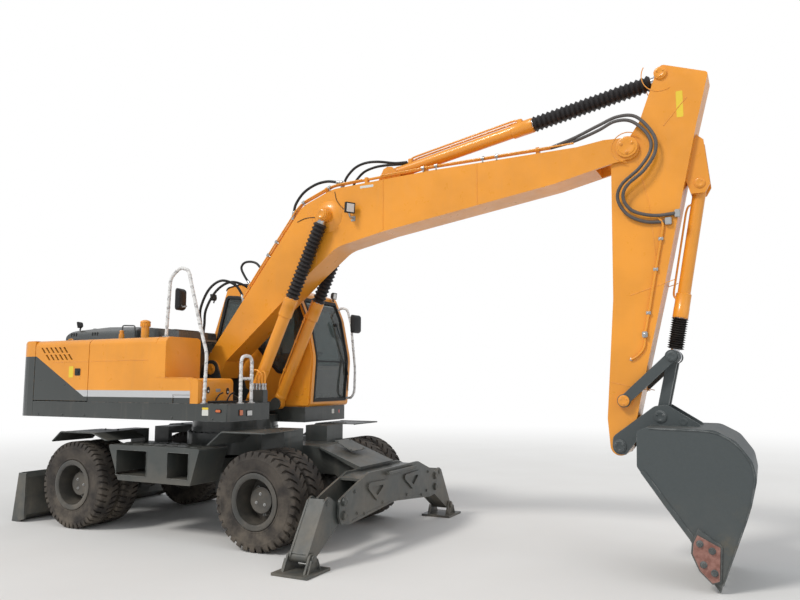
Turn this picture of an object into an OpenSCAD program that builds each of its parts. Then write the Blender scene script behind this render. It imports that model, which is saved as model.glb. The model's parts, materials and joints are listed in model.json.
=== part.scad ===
// Wheeled excavator, 21 tonne class, parked on its blade, wheels and outriggers.
// Millimetres. X runs towards the boom, Y to the left, Z up, and the slewing axis is X = 0
// in every module; the last lines move the whole machine so that its origin is bottom centre.

/* [Undercarriage] */
// Distance between the two axles
wheelbase = 2800; // [2700:10:2900]
// Distance from the slewing axis to the rigid axle
rigid_axle_x = 1300; // [1250:10:1350]
// Outer diameter of a tyre over its lugs
tyre_d = 1050; // [1030:2:1060]
// Width of one tyre
tyre_w = 278; // [260:2:290]
// Number of lugs round each shoulder of a tyre
tyre_lugs = 24; // [20:1:30]
// Depth of the grooves between the lugs
groove_deep = 22; // [14:1:26]
// Gap between the two tyres of a pair
twin_gap = 42; // [30:1:60]
// Width of the machine over its tyres
track_w = 2500; // [2480:10:2560]
// Distance from the inner tyre's inside in to the kingpin
kingpin_in = 92; // [82:2:102]
// Half width of the chassis girder
girder_half = 260; // [230:5:280]
// Radius of the turntable tower
tower_r = 600; // [560:10:640]
// Height of the turntable face
ring_z = 1218; // [1215:1:1225]
// Thickness of the mudguard sheet
guard_t = 6; // [4:1:8]

/* [Blade] */
// Height of the blade's centre part
blade_h = 790; // [740:10:850]
// Distance from the slewing axis back to the blade's cutting edge
blade_edge_x = 2600; // [2580:5:2640]
// Length of the blade's parallel arms
blade_arm = 452; // [440:2:470]
// Slope of the parallel arms below level, blade on the ground
blade_fall = 35; // [33:0.5:36]
// Plate thickness of blade links and lugs
link_t = 30; // [24:1:34]

/* [Outriggers] */
// Distance from the slewing axis to the middle of the outrigger beam
beam_x = 2190; // [2180:5:2230]
// Half the distance between the two leg pivots
leg_pivot_y = 1120; // [1080:10:1160]
// Height of the leg pivots
leg_pivot_z = 449; // [430:1:470]
// Half the distance between the two foot pins
foot_y = 1650; // [1630:5:1680]
// Side of the square foot plate
foot_side = 400; // [360:10:440]
// Thickness of the foot plate
foot_t = 26; // [20:1:32]
// Width of a leg between the beam's two plates
leg_w = 210; // [180:5:220]
// Thickness of the outrigger plates
beam_t = 25; // [20:1:30]

/* [Upper structure] */
// Width of the upper structure
body_w = 2480; // [2460:10:2520]
// Height of the platform's top
deck_z = 1540; // [1530:5:1550]
// Depth of the platform skirt
skirt_h = 195; // [160:5:200]
// Height of the side panels' top edge
panel_top_z = 2315; // [2280:5:2340]
// Reach of the counterweight behind the slewing axis
tail_r = 2750; // [2700:10:2800]
// Distance from the slewing axis back to the counterweight's front face
ballast_x = 2320; // [2300:10:2340]
// Thickness of doors and panels
panel_t = 36; // [24:2:44]
// Height of the engine hood's top
hood_z = 2500; // [2440:10:2520]
// Gap around doors and lids
door_gap = 11; // [11:0.5:14]

/* [Cab] */
// Inner side of the cab, from the machine's middle
cab_y = 285; // [280:5:320]
// Height of the cab's roof
cab_roof_z = 3120; // [3090:5:3160]
// Thickness of the cab's walls
cab_wall = 50; // [40:2:60]
// Thickness of the window glass
glass_t = 6; // [4:1:8]

/* [Boom] */
// Offset of the working arm from the machine's middle
boom_y = -100; // [-110:2:-90]
// Distance between the boom's end pins
boom_len = 5650; // [5600:10:5700]
// Slope of the boom's chord in the stored pose
boom_rise = 22.4; // [21.5:0.1:23]
// Half width of the boom
boom_half = 190; // [180:2:192]
// Half width of the arm
arm_half = 158; // [150:1:162]
// Half the distance between the two boom rams
boom_ram_y = 285; // [283:1:290]
// Radius of a boom ram's barrel
boom_ram_r = 72; // [66:1:74]

/* [Arm and bucket] */
// Distance between the arm's end pins
arm_len = 2932; // [2900:4:2960]
// Slope of the arm below level in the stored pose
arm_drop = 93.3; // [92.5:0.1:94]
// Radius of the arm ram's barrel
arm_ram_r = 68; // [60:1:72]
// Radius of the bucket ram's barrel
bucket_ram_r = 60; // [54:1:64]
// Width of the bucket
bucket_w = 1100; // [1000:10:1200]
// Thickness of the bucket's plates
bucket_t = 22; // [16:1:28]
// Number of teeth on the bucket
teeth = 5; // [4:1:6]
// Thickness of the bucket's hinge plates
ear_t = 26; // [20:1:28]
// Thickness of the guide links
guide_t = 26; // [20:1:30]

/* [Hidden] */
$fn = 48;

yellow = "#f5a21b";
charcoal = "#3c4441";
dark = "#2b2f2e";
rubber = "#1d1c1b";
white = "#e8e8e4";
seat_gap = 0.3;
pin_play = 0.05;
side_gap = 5;

// Places of the undercarriage
steer_axle_x = rigid_axle_x - wheelbase;
axle_z = tyre_d/2;
tyre_out = track_w/2;
tyre_in = tyre_out - 2*tyre_w - twin_gap;
wheel_mid = (tyre_out + tyre_in)/2;
kingpin_y = tyre_in - kingpin_in;
guard_in = tyre_in - 32;
bracket_out = tyre_in - 12;
hub_r = 140;
spindle_r = 55;
spindle_end = wheel_mid - 20;
hub_in = tyre_in - 12;
knuckle_r = 68;
yoke_gap = 115;
rod_reach = 250;
girder_top = 940;
blade_pivot = [-1960, 560];
link_rise = 200;
blade_eye_reach = 378;
blade_brace_reach = 160;
blade_pin = blade_pivot - blade_arm*[cos(blade_fall), sin(blade_fall)];
blade_ram_foot = [-1880, 880];
blade_ram_y = 110;
link_y = 235;
blade_ram_eye = blade_pivot - blade_eye_reach*[cos(blade_fall), sin(blade_fall)];
blade_brace = blade_pivot - blade_brace_reach*[cos(blade_fall), sin(blade_fall)];
foot_z = 140;

// Places of the boom, arm and bucket in side view
boom_foot = [-150, 1945];
boom_tip = boom_foot + boom_len*[cos(boom_rise), sin(boom_rise)];
boom_ram_foot = [540, 1500];
boom_eye_reach = 2510;
boom_eye_angle = 24;
boom_ram_eye = boom_foot + boom_eye_reach*[cos(boom_rise + boom_eye_angle), sin(boom_rise + boom_eye_angle)];
arm_ram_foot = boom_foot + turn([2500, 2280], boom_rise - 22.4);
arm_foot = boom_tip + arm_len*[cos(arm_drop), -sin(arm_drop)];
arm_tilt = 93.3 - arm_drop;
function from_tip(x, z) = boom_tip + turn([x, z], arm_tilt);
function from_foot(x, z) = arm_foot + turn([x, z], arm_tilt);
arm_ram_eye = from_tip(337, 709);
bucket_ram_foot = from_tip(644, -424);
guide_foot = from_foot(58, 432);
guide_top = from_foot(506, 851);
ear_pin = from_foot(379, 288);
lift_eye = from_foot(580, 245);
bucket_reach = 1170;
middle_x = (arm_foot[0] + bucket_reach - tail_r)/2;

function turn(v, a) = [v[0]*cos(a) - v[1]*sin(a), v[0]*sin(a) + v[1]*cos(a)];
function slope(p, q) = atan2(q[1] - p[1], q[0] - p[0]);
function unit(v) = v/norm(v);
function xz(v) = [v[0], v[1]];
function sweep(a) = a > 180 ? a - 360 : a < -180 ? a + 360 : a;

// The arc that rounds corner c, between its neighbours p and n, by radius r in k steps
function arc_at(p, c, n, r, k) =
  let (u = unit(p - c), v = unit(n - c), half = acos(u*v)/2,
       m = c + unit(u + v)*r/sin(half), d = r/tan(half),
       a = slope(m, c + u*d), s = sweep(slope(m, c + v*d) - a))
  r == 0 ? [c] : [for (i = [0:k]) m + r*[cos(a + s*i/k), sin(a + s*i/k)]];

// A closed outline from a table of corners: x, z, radius
function rounded(t, k = 4) =
  let (n = len(t))
  [for (i = [0:n - 1]) each arc_at(xz(t[(i + n - 1) % n]), xz(t[i]), xz(t[(i + 1) % n]), t[i][2], k)];

// The same convex table of corners moved inwards by d
function inset(t, d) =
  let (n = len(t))
  [for (i = [0:n - 1])
    let (c = xz(t[i]), u = unit(xz(t[(i + n - 1) % n]) - c), v = unit(xz(t[(i + 1) % n]) - c),
         half = acos(u*v)/2, m = c + unit(u + v)*d/sin(half))
    [m[0], m[1], max(t[i][2] - d, 0)]];

// Side-view outline between two widths
module plate(points, y0, y1)
  translate([0, y1, 0]) rotate([90, 0, 0]) linear_extrude(y1 - y0) polygon(points);

// End-view outline (y, z) between two lengths
module section(points, x0, x1)
  translate([x0, 0, 0]) rotate([90, 0, 90]) linear_extrude(x1 - x0) polygon(points);

// Round bar across the machine at the side-view point p
module across(p, r, y0, y1)
  translate([p[0], y1, p[1]]) rotate([90, 0, 0]) cylinder(r = r, h = y1 - y0);

// Moves children that stand on +Z to point from p towards q in side view
module aim(p, q, y = 0)
  translate([p[0], y, p[1]]) rotate([0, 90 - slope(p, q), 0]) children();

module box(low, high)
  translate(low) cube(high - low);

// Outline of a link bar: round ends of radius r about p and q, and a waist of half width w
function bar_outline(p, q, r, w, k = 22) =
  let (d = slope(p, q), s = asin(w/r), turn_back = 360 - 2*s)
  concat([for (i = [0:k]) let (a = d + s + turn_back*i/k) p + r*[cos(a), sin(a)]],
         [for (i = [0:k]) let (a = d + 180 + s + turn_back*i/k) q + r*[cos(a), sin(a)]]);

// A route with each corner eased over the distance d on both sides
function eased(t, d) =
  [for (i = [0:len(t) - 1])
    each i == 0 || i == len(t) - 1 ? [t[i]] :
      let (p = t[i] + unit(t[i - 1] - t[i])*d, q = t[i] + unit(t[i + 1] - t[i])*d)
      [for (k = [0:3]) let (f = k/3) (1 - f)*(1 - f)*p + 2*f*(1 - f)*t[i] + f*f*q]];

// Round tube along a route; side is a direction that the route never takes
module tube(route, r, side = [0, 1, 0], ease = 40, n = 10) {
  t = len(route) > 2 ? eased(route, ease) : route;
  last = len(t) - 1;
  rings = [for (i = [0:last])
    let (back = unit(t[max(i, 1)] - t[max(i, 1) - 1]), ahead = unit(t[min(i, last - 1) + 1] - t[min(i, last - 1)]),
         d = unit(back + ahead), v = unit(cross(side, d)), w = cross(d, v))
    each [for (j = [0:n - 1]) t[i] + r*(cos(360*j/n)/(d*ahead)*v + sin(360*j/n)*w)]];
  polyhedron(rings, concat(
    [[for (j = [0:n - 1]) j]],
    [for (i = [0:last - 1], j = [0:n - 1]) [i*n + j, (i + 1)*n + j, (i + 1)*n + (j + 1) % n, i*n + (j + 1) % n]],
    [[for (j = [n - 1:-1:0]) last*n + j]]));
}

module both_sides() {
  children();
  mirror([0, 1, 0]) children();
}

// Undercarriage

module tower() {
  translate([0, 0, girder_top - 40]) cylinder(r = tower_r, h = ring_z - 60 - girder_top + 40, $fn = 96);
  translate([0, 0, ring_z - 60]) cylinder(r = tower_r - 50, h = 60, $fn = 96);
}

module chassis() {
  side = [
    [-2060, 470, 40], [-1790, 470, 40], [-1790, 720, 30], [-1000, 720, 60], [-850, 560, 60],
    [850, 560, 60], [1000, 720, 60], [1700, 720, 40], [beam_x - leg_w/2 - 2*beam_t - 15, 480, 20],
    [beam_x - leg_w/2 - 2*beam_t - 15, 800, 20], [1440, girder_top + 95, 60], [700, girder_top + 95, 30],
    [560, girder_top, 30], [-1900, girder_top, 60], [-2060, 860, 30]
  ];
  color(charcoal)
  difference() {
    union() {
      plate(rounded(side), -girder_half, girder_half);
      tower();
      for (x = [-1, 1])
        box([steer_axle_x + x*190 - 20, -110, axle_z - 90], [steer_axle_x + x*190 + 20, 110, 730]);
      both_sides()
        box([rigid_axle_x - 140, 170, axle_z + 113], [rigid_axle_x + 140, girder_half, 730]);
    }
    translate([0, 0, ring_z - 110]) cylinder(r = 300 + pin_play, h = 200, $fn = 96);
    translate([steer_axle_x - 300, 0, axle_z]) rotate([0, 90, 0]) cylinder(r = 60 + pin_play, h = 600);
    both_sides() {
      box([-2200, link_y - link_t/2 - side_gap, 400], [blade_pivot[0] + 70, girder_half + 10, 1000]);
      box([-2200, blade_ram_y - 50, 400], [blade_ram_foot[0] + 90, blade_ram_y + 50, 1000]);
    }
  }
  color(charcoal)
  both_sides() {
    for (dz = [0, link_rise])
      across(blade_pivot + [0, dz], 24, link_y - link_t, link_y + link_t/2 + 12);
    across(blade_ram_foot, 20, blade_ram_y - 60, blade_ram_y + 60);
  }
}

module guard_sheet(t, y0, y1) {
  n = len(t);
  outline = concat(t, [for (i = [n - 1:-1:0]) t[i] - [0, guard_t]]);
  plate(outline, y0, y1);
}

module mudguards() {
  over_steer = [[-400, 520], [-250, 640], [320, 640], [560, 560]];
  over_rigid = [[-660, 565], [-465, 715], [120, 715]];
  color(charcoal)
  both_sides() {
    translate([steer_axle_x, 0, axle_z]) guard_sheet(over_steer, guard_in, tyre_out - 10);
    translate([rigid_axle_x, 0, axle_z]) guard_sheet(over_rigid, guard_in, tyre_out - 10);
    box([steer_axle_x - 100, girder_half - 80, tyre_d + 12], [steer_axle_x + 160, bracket_out, axle_z + 640 - guard_t - seat_gap]);
    box([steer_axle_x - 100, girder_half - 80, girder_top + seat_gap], [steer_axle_x + 160, girder_half - 10, tyre_d + 20]);
    box([rigid_axle_x - 380, girder_half, 900], [rigid_axle_x - 60, bracket_out, axle_z + 715 - guard_t - seat_gap]);
  }
}

module step_boxes() {
  front = [[-900, 1040, 20], [525, 1040, 20], [400, 630, 20], [-722, 630, 20]];
  holes = [[-760, -270], [50, 370]];
  color(charcoal)
  both_sides()
    difference() {
      union() {
        plate(rounded(front), 760, track_w/2 - 12);
        box([-620, girder_half, 700], [300, 760, 860]);
      }
      for (h = holes)
        box([h[0], 790, 690], [h[1], track_w, 985]);
    }
}

module diff_case(x) {
  translate([x, 0, axle_z]) {
    sphere(r = 160);
    for (s = [-1, 1])
      rotate([s*90, 0, 0]) translate([0, 0, 100]) cylinder(r1 = 120, r2 = 85, h = 330);
  }
}

module rigid_axle()
  color(dark) {
    diff_case(rigid_axle_x);
    translate([rigid_axle_x, 0, axle_z])
      for (s = [-1, 1]) rotate([s*90, 0, 0]) {
        cylinder(r = 95, h = hub_in - side_gap);
        cylinder(r = spindle_r, h = spindle_end);
      }
  }

module steer_axle()
  color(dark) {
    diff_case(steer_axle_x);
    translate([steer_axle_x, 0, axle_z]) {
      rotate([0, 90, 0]) translate([0, 0, -215]) cylinder(r = 60, h = 430);
      for (s = [-1, 1]) {
        rotate([s*90, 0, 0]) cylinder(r = 80, h = kingpin_y - knuckle_r - 60);
        for (z = [-1, 1])
          translate([0, s*kingpin_y, z*(yoke_gap + 30)]) {
            cylinder(r = 70, h = 56, center = true);
            box([-60, s > 0 ? -150 : 0, -28], [60, s > 0 ? 0 : 150, 28]);
          }
        box([-60, s*(kingpin_y - 120) - 30, -yoke_gap - 58], [60, s*(kingpin_y - 120) + 30, yoke_gap + 58]);
        translate([0, s*kingpin_y, -yoke_gap - 10]) cylinder(r = 28, h = 2*yoke_gap + 20);
      }
    }
  }

// A steering knuckle on the left side of the machine
module knuckle()
  color(dark)
  translate([steer_axle_x, kingpin_y, axle_z])
    difference() {
      union() {
        translate([0, 0, -yoke_gap]) cylinder(r = knuckle_r, h = 2*yoke_gap);
        rotate([-90, 0, 0]) cylinder(r = spindle_r, h = spindle_end - kingpin_y);
        rotate([-90, 0, 0]) cylinder(r = 70, h = hub_in - kingpin_y - 2);
        box([-rod_reach - 30, -30, -70], [0, 30, -45]);
      }
      translate([0, 0, -200]) cylinder(r = 28 + pin_play, h = 400);
    }

module track_rod()
  color(dark)
  translate([steer_axle_x - rod_reach, 0, axle_z - 45 + seat_gap]) {
    translate([0, -kingpin_y, 22]) rotate([-90, 0, 0]) cylinder(r = 22, h = 2*kingpin_y);
    for (s = [-1, 1]) translate([0, s*kingpin_y, 0]) cylinder(r = 26, h = 44);
  }

module driveline()
  color(dark) {
    box([-160, -170, 380], [240, 170, 560 - seat_gap]);
    tube([[240, 0, 490], [rigid_axle_x - 160, 0, axle_z]], 45);
    tube([[-160, 0, 490], [steer_axle_x + 222, 0, axle_z]], 45);
  }

// One tyre about +Z: a body of revolution with slanting grooves cut into both shoulders,
// those of one side half a pitch ahead of the other's
module tyre() {
  crown = tyre_d/2;
  wide = 0.26*2*PI*crown/tyre_lugs;
  slant = 0.3*tyre_w/2;
  reach = tyre_w/2 - 14;
  groove = [[-wide/2, -1], [wide/2, -1], [wide/2 + slant, reach], [slant - wide/2, reach]];
  difference() {
    rotate_extrude($fn = 64)
      polygon(rounded([[256, 21, 0], [303, 21, 0], [315, 4, 10], [430, 0, 60], [crown, 14, 34],
                       [crown, tyre_w - 14, 34], [430, tyre_w, 60], [315, tyre_w - 4, 10],
                       [303, tyre_w - 21, 0], [256, tyre_w - 21, 0]], 2));
    for (side = [0, 1], i = [0:tyre_lugs - 1])
      translate([0, 0, side*tyre_w]) mirror([0, 0, side])
        rotate([0, 0, (i + side/2)*360/tyre_lugs])
          translate([crown - groove_deep, 0, 0]) rotate([90, 0, 90]) linear_extrude(groove_deep + 10) polygon(groove);
  }
}

// Twin tyres on the left
module tyre_pair(x)
  color(rubber)
  translate([x, 0, axle_z])
    for (y = [tyre_in, tyre_out - tyre_w])
      translate([0, y, 0]) rotate([-90, 0, 0]) tyre();

// Rims, discs and hub on the left side
module wheel_pair(x) {
  rim = [[256 - seat_gap, 20], [256 - seat_gap, tyre_w - 20], [298, tyre_w - 16], [298, tyre_w - 2],
         [282, tyre_w + 2], [240, tyre_w - 8], [240, 8], [282, -2], [298, 2], [298, 16]];
  color(charcoal)
  translate([x, 0, axle_z]) rotate([-90, 0, 0])
    difference() {
      union() {
        for (y = [tyre_in, tyre_out - tyre_w])
          translate([0, 0, y]) rotate_extrude($fn = 64) polygon(rim);
        translate([0, 0, wheel_mid - 28]) cylinder(r = 242, h = 56, $fn = 64);
        translate([0, 0, hub_in]) cylinder(r = hub_r, h = tyre_out - 130 - hub_in, $fn = 64);
      }
      translate([0, 0, hub_in - 1]) cylinder(r = spindle_r + pin_play, h = spindle_end - hub_in + 3);
    }
}

// Blade and its parallel linkage

module blade() {
  board = [[-blade_edge_x, 0], [-2420, 110], [-2390, 330], [-2420, 540], [-2480, 610],
           [-2455, 625], [-2395, 560], [-2365, 330], [-2390, 90], [-2530, 0]];
  centre = [[-2480, 600], [-2400, blade_h], [-2350, blade_h], [-2345, 200], [-2395, 90]];
  color(charcoal) {
    difference() {
      union() {
        plate(board, -1240, 1240);
        plate(concat(centre, [[-2370, 330], [-2400, 560]]), -860, 860);
      }
      both_sides()
        for (dz = [0, link_rise])
          across(blade_pin + [0, dz], 60, link_y - link_t/2 - side_gap, link_y + link_t/2 + side_gap);
    }
    for (s = [-1, 1])
      plate([[-blade_edge_x, 0], [-2500, 0], [-2370, 40], [-2370, 615], [-2510, 615]],
            s*1226 - 14, s*1226 + 14);
    both_sides()
      for (dz = [0, link_rise]) {
        for (e = [-1, 1])
          plate(rounded([[-2380, blade_pin[1] + dz - 75, 0], [blade_pin[0] + 45, blade_pin[1] + dz - 45, 40],
                         [blade_pin[0] + 45, blade_pin[1] + dz + 45, 40], [-2380, blade_pin[1] + dz + 75, 0]]),
                link_y + e*(link_t/2 + side_gap + 10) - 10, link_y + e*(link_t/2 + side_gap + 10) + 10);
        across(blade_pin + [0, dz], 24, link_y - link_t/2 - side_gap - 20, link_y + link_t/2 + side_gap + 20);
      }
  }
}

module link_bar(p, q, y)
  difference() {
    plate(bar_outline(p, q, 52, 34), y - link_t/2, y + link_t/2);
    for (c = [p, q])
      across(c, 24 + pin_play, y - link_t, y + link_t);
  }

// The cheeks on the arms' brace leave the layer of the ram's eye free
module blade_arms()
  color(charcoal)
  both_sides() {
    link_bar(blade_pivot, blade_pin, link_y);
    across(blade_brace, 24, 0, link_y);
    for (e = [-1, 1])
      plate(bar_outline(blade_brace, blade_ram_eye, 32, 24), blade_ram_y + e*40 - 14, blade_ram_y + e*40 + 14);
    across(blade_ram_eye, 20, blade_ram_y + 30, link_y - link_t/2 + 1);
    across(blade_ram_eye, 20, 0, blade_ram_y - 30);
  }

module blade_links()
  color(charcoal)
  both_sides()
    link_bar(blade_pivot + [0, link_rise], blade_pin + [0, link_rise], link_y);

module blade_ram_barrels()
  color(charcoal)
  both_sides()
    difference() {
      union() {
        across(blade_ram_foot, 38, blade_ram_y - 40, blade_ram_y + 40);
        aim(blade_ram_foot, blade_ram_eye, blade_ram_y) cylinder(r = 40, h = 340);
      }
      across(blade_ram_foot, 20 + pin_play, blade_ram_y - 60, blade_ram_y + 60);
      aim(blade_ram_foot, blade_ram_eye, blade_ram_y) translate([0, 0, 60]) cylinder(r = 22 + pin_play, h = 400);
    }

module blade_ram_rods()
  color("silver")
  both_sides() {
    aim(blade_ram_eye, blade_ram_foot, blade_ram_y) cylinder(r = 22, h = 360);
    across(blade_ram_eye, 32, blade_ram_y - 22, blade_ram_y + 22);
  }

// Outriggers

beam_top = 815;
beam_side = [[0, 430, 0], [960, 345, 80], [leg_pivot_y + 40, 365, 40], [leg_pivot_y + 95, 450, 40],
             [leg_pivot_y + 80, 610, 40], [leg_pivot_y - 60, 665, 40], [620, beam_top, 80], [0, beam_top, 0]];

module beam_plate(x0, x1)
  both_sides() section(rounded(beam_side), x0, x1);

module outrigger_beam() {
  front_x = beam_x + leg_w/2 + 15;
  back_x = beam_x - leg_w/2 - 15 - beam_t;
  recess = [[150, 695, 30], [740, 715, 40], [450, 500, 40]];
  window = [for (p = inset(recess, 45)) [p[0], p[1], 12]];
  color(charcoal) {
    beam_plate(front_x, front_x + beam_t);
    beam_plate(back_x, back_x + beam_t);
    both_sides() {
      difference() {
        section(rounded(recess), front_x + beam_t, front_x + beam_t + 22);
        section(rounded(window), front_x, front_x + beam_t + 30);
      }
      box([back_x + beam_t, 0, 440], [front_x, 480, beam_top - 25]);
      section([[480, beam_top - 25], [620, beam_top - 25], [leg_pivot_y - 360, 767], [leg_pivot_y - 360, 742],
               [610, beam_top - 50], [480, beam_top - 50]], back_x + beam_t, front_x);
      translate([back_x + beam_t, leg_pivot_y, leg_pivot_z]) rotate([0, 90, 0]) cylinder(r = 34, h = front_x - back_x - beam_t);
      for (z = [leg_pivot_z, leg_pivot_z + 136])
        translate([front_x + beam_t, leg_pivot_y, z]) rotate([0, 90, 0]) cylinder(r = 46, h = 18);
    }
    translate([front_x + beam_t + 40, -240, beam_top - 50]) rotate([-90, 0, 0]) cylinder(r = 20, h = 700);
    box([front_x + beam_t, -240, beam_top - 65], [front_x + beam_t + 40, -210, beam_top - 35]);
    box([front_x + beam_t, 430, beam_top - 65], [front_x + beam_t + 40, 460, beam_top - 35]);
    plate([[1445, girder_top + 95 + seat_gap], [1445, girder_top + 110], [1560, girder_top + 100], [back_x + 60, beam_top + 25],
           [back_x + 60, beam_top], [back_x - 10, beam_top], [1560, girder_top + 85]], -400, 400);
    box([back_x - beam_t, -girder_half + 10, 500], [back_x, girder_half - 10, 780]);
  }
}

// A leg on the left side: two plates on its pivot, joined by webs
module leg() {
  pivot = [leg_pivot_y, leg_pivot_z];
  foot = [foot_y, foot_z];
  top = [leg_pivot_y + 240, leg_pivot_z + 155];
  side = [[pivot[0] - 62, pivot[1] - 50, 40], [pivot[0] + 20, pivot[1] - 75, 60], [foot[0] - 60, foot[1] - 30, 50],
          [foot[0] + 20, foot[1] - 62, 40], [foot[0] + 58, foot[1] + 20, 40], [top[0] + 55, top[1] + 25, 40],
          [top[0] - 20, top[1] + 62, 40], [pivot[0] - 30, pivot[1] + 70, 60]];
  color(charcoal)
  difference() {
    union() {
      for (x = [beam_x - leg_w/2, beam_x + leg_w/2 - 20])
        section(rounded(side), x, x + 20);
      section([[foot[0] + 36, foot[1] + 40], [top[0] + 40, top[1] + 40], [top[0] + 16, top[1] + 24],
               [foot[0] + 12, foot[1] + 24]], beam_x - leg_w/2 + 20, beam_x + leg_w/2 - 20);
      section([[pivot[0] + 40, pivot[1] - 66], [foot[0] - 50, foot[1] - 20], [foot[0] - 30, foot[1]],
               [pivot[0] + 60, pivot[1] - 46]], beam_x - leg_w/2 + 20, beam_x + leg_w/2 - 20);
      translate([beam_x - leg_w/2, foot[0], foot[1]]) rotate([0, 90, 0]) cylinder(r = 46, h = leg_w);
      translate([beam_x - leg_w/2, top[0], top[1]]) rotate([0, 90, 0]) cylinder(r = 30, h = leg_w + 8);
    }
    translate([beam_x - leg_w, pivot[0], pivot[1]]) rotate([0, 90, 0]) cylinder(r = 34 + pin_play, h = 2*leg_w);
    translate([beam_x - leg_w, foot[0], foot[1]]) rotate([0, 90, 0]) cylinder(r = 24 + pin_play, h = 2*leg_w);
  }
}

// A foot plate on the left side, hung on the leg's lower pin
module foot_pad()
  color(charcoal) {
    box([beam_x - foot_side/2, foot_y - foot_side/2, 0], [beam_x + foot_side/2, foot_y + foot_side/2, foot_t]);
    for (s = [-1, 1]) {
      x = beam_x + s*(leg_w/2 + 16);
      section(rounded([[foot_y - 130, foot_t, 0], [foot_y - 42, foot_z + 46, 40], [foot_y + 42, foot_z + 46, 40],
                       [foot_y + 130, foot_t, 0]]), x - 10, x + 10);
    }
    translate([beam_x - leg_w/2 - 34, foot_y, foot_z]) rotate([0, 90, 0]) cylinder(r = 24, h = leg_w + 68);
  }

// Upper structure

ram_slot_y = boom_y - boom_ram_y - boom_ram_r - 20;
// Half width of the hood, inside the deck's walkways
hood_half = body_w/2 - 340;
nose_x = 900;
cab_nose_x = 1480;

// Plan of the platform; its boom bay is open in front
function deck_plan(d) = [
  [-ballast_x + d, -body_w/2 + d], [nose_x - d, -body_w/2 + d], [nose_x - d, ram_slot_y - d], [300 - d, ram_slot_y - d],
  [300 - d, cab_y - 15 + d], [cab_nose_x - d, cab_y - 15 + d], [cab_nose_x - d, body_w/2 - d], [-ballast_x + d, body_w/2 - d]
];

module foot_plates() {
  side = concat([[-520, deck_z - 90], [-470, 1600], [-280, 2000]],
    [for (a = [120:-30:30]) boom_foot + 115*[cos(a), sin(a)]],
    [[60, 1700], boom_ram_foot + [-112, 30]],
    [for (a = [160:-40:-80]) boom_ram_foot + 78*[cos(a), sin(a)]],
    [[300, 1400]]);
  for (s = [-1, 1])
    plate(side, boom_y + s*222 - 12, boom_y + s*222 + 12);
}

module platform()
  color(dark) {
    difference() {
      translate([0, 0, deck_z - skirt_h]) linear_extrude(skirt_h) polygon(deck_plan(0));
      translate([0, 0, deck_z - skirt_h - 1]) linear_extrude(skirt_h - 14) polygon(deck_plan(14));
    }
    difference() {
      box([-1900, boom_y - 234, deck_z - skirt_h + 5], [300 - 14, boom_y + 234, deck_z - 15]);
      box([-1880, boom_y - 214, deck_z - skirt_h], [280, boom_y + 214, deck_z - 35]);
    }
    translate([0, 0, ring_z + seat_gap]) cylinder(r = tower_r - 60, h = deck_z - skirt_h + 20 - ring_z, $fn = 96);
    translate([0, 0, ring_z - 100]) cylinder(r = 300, h = 110, $fn = 96);
    both_sides() door_pin();
    foot_plates();
    box([240, boom_y - 222, 1400], [290, boom_y + 222, deck_z - 15]);
    for (s = [-1, 1]) {
      across(boom_foot, 45, boom_y + s*222 - 12, boom_y + s*222 + 12);
      across(boom_ram_foot, 36, boom_y + s*boom_ram_y - 62, boom_y + s*boom_ram_y + 52);
    }
    across(boom_foot, 45, boom_y - 240, boom_y + 240);
  }

module counterweight() {
  plan = concat([[-ballast_x - seat_gap, -body_w/2]],
    [for (a = [-90:15:0]) [-2430 - 240*cos(a), -body_w/2 + 240 + 240*sin(a)]],
    [for (y = [-900:225:900]) [-tail_r + 80*y*y/810000, y]],
    [for (a = [0:15:90]) [-2430 - 240*cos(a), body_w/2 - 240 + 240*sin(a)]],
    [[-ballast_x - seat_gap, body_w/2]]);
  side = rounded([[-2900, deck_z - skirt_h, 0], [-2200, deck_z - skirt_h, 0], [-2200, panel_top_z, 0],
                  [-2500, panel_top_z, 200], [-2790, panel_top_z - 170, 200], [-2800, 1800, 0]]);
  color(charcoal)
  intersection() {
    translate([0, 0, 1000]) linear_extrude(2000) polygon(plan);
    plate(side, -1400, 1400);
  }
}

// Section of a side panel on the right side: wall, rounded shoulder, short return
function panel_section(y, t, rise = seat_gap) =
  let (r = shoulder, in = r - t)
  concat([[-y, deck_z + rise]], [for (a = [180:-15:90]) [-y + r + r*cos(a), panel_top_z - r + r*sin(a)]],
    [[-y + r + 10, panel_top_z], [-y + r + 10, panel_top_z - t]],
    [for (a = [90:15:180]) [-y + r + in*cos(a), panel_top_z - r + in*sin(a)]], [[-y + t, deck_z + rise]]);

shoulder = 80;
pin_in = 14;
seam_a = -1300;
seam_b = -180;
tank_x = -30;
band_end_x = 362;

module slats(x0, n, z0, pitch)
  for (i = [0:n - 1], row = [0, 1])
    translate([x0 + i*pitch + row*92, 0, z0 - row*92])
      plate([[0, 0], [34, 0], [34 + 66, -72], [66, -72]], -body_w/2 - 10, -body_w/2 + panel_t + 10);

// Pivot pin of a side door, on the right side; grow widens it to the bore
module door_pin(grow = 0)
  translate([-ballast_x + door_gap + pin_in, -body_w/2 + pin_in, deck_z - 10])
    cylinder(r = 6 + grow, h = 70);

module pump_door()
  color(yellow)
  difference() {
    section(panel_section(body_w/2, panel_t, door_gap), -ballast_x + door_gap, seam_a - door_gap);
    slats(-2210, 6, 2225, 84);
    door_pin(pin_play);
  }

module tank_cover()
  color(yellow)
  section(panel_section(body_w/2, panel_t), seam_a, seam_b);

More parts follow.
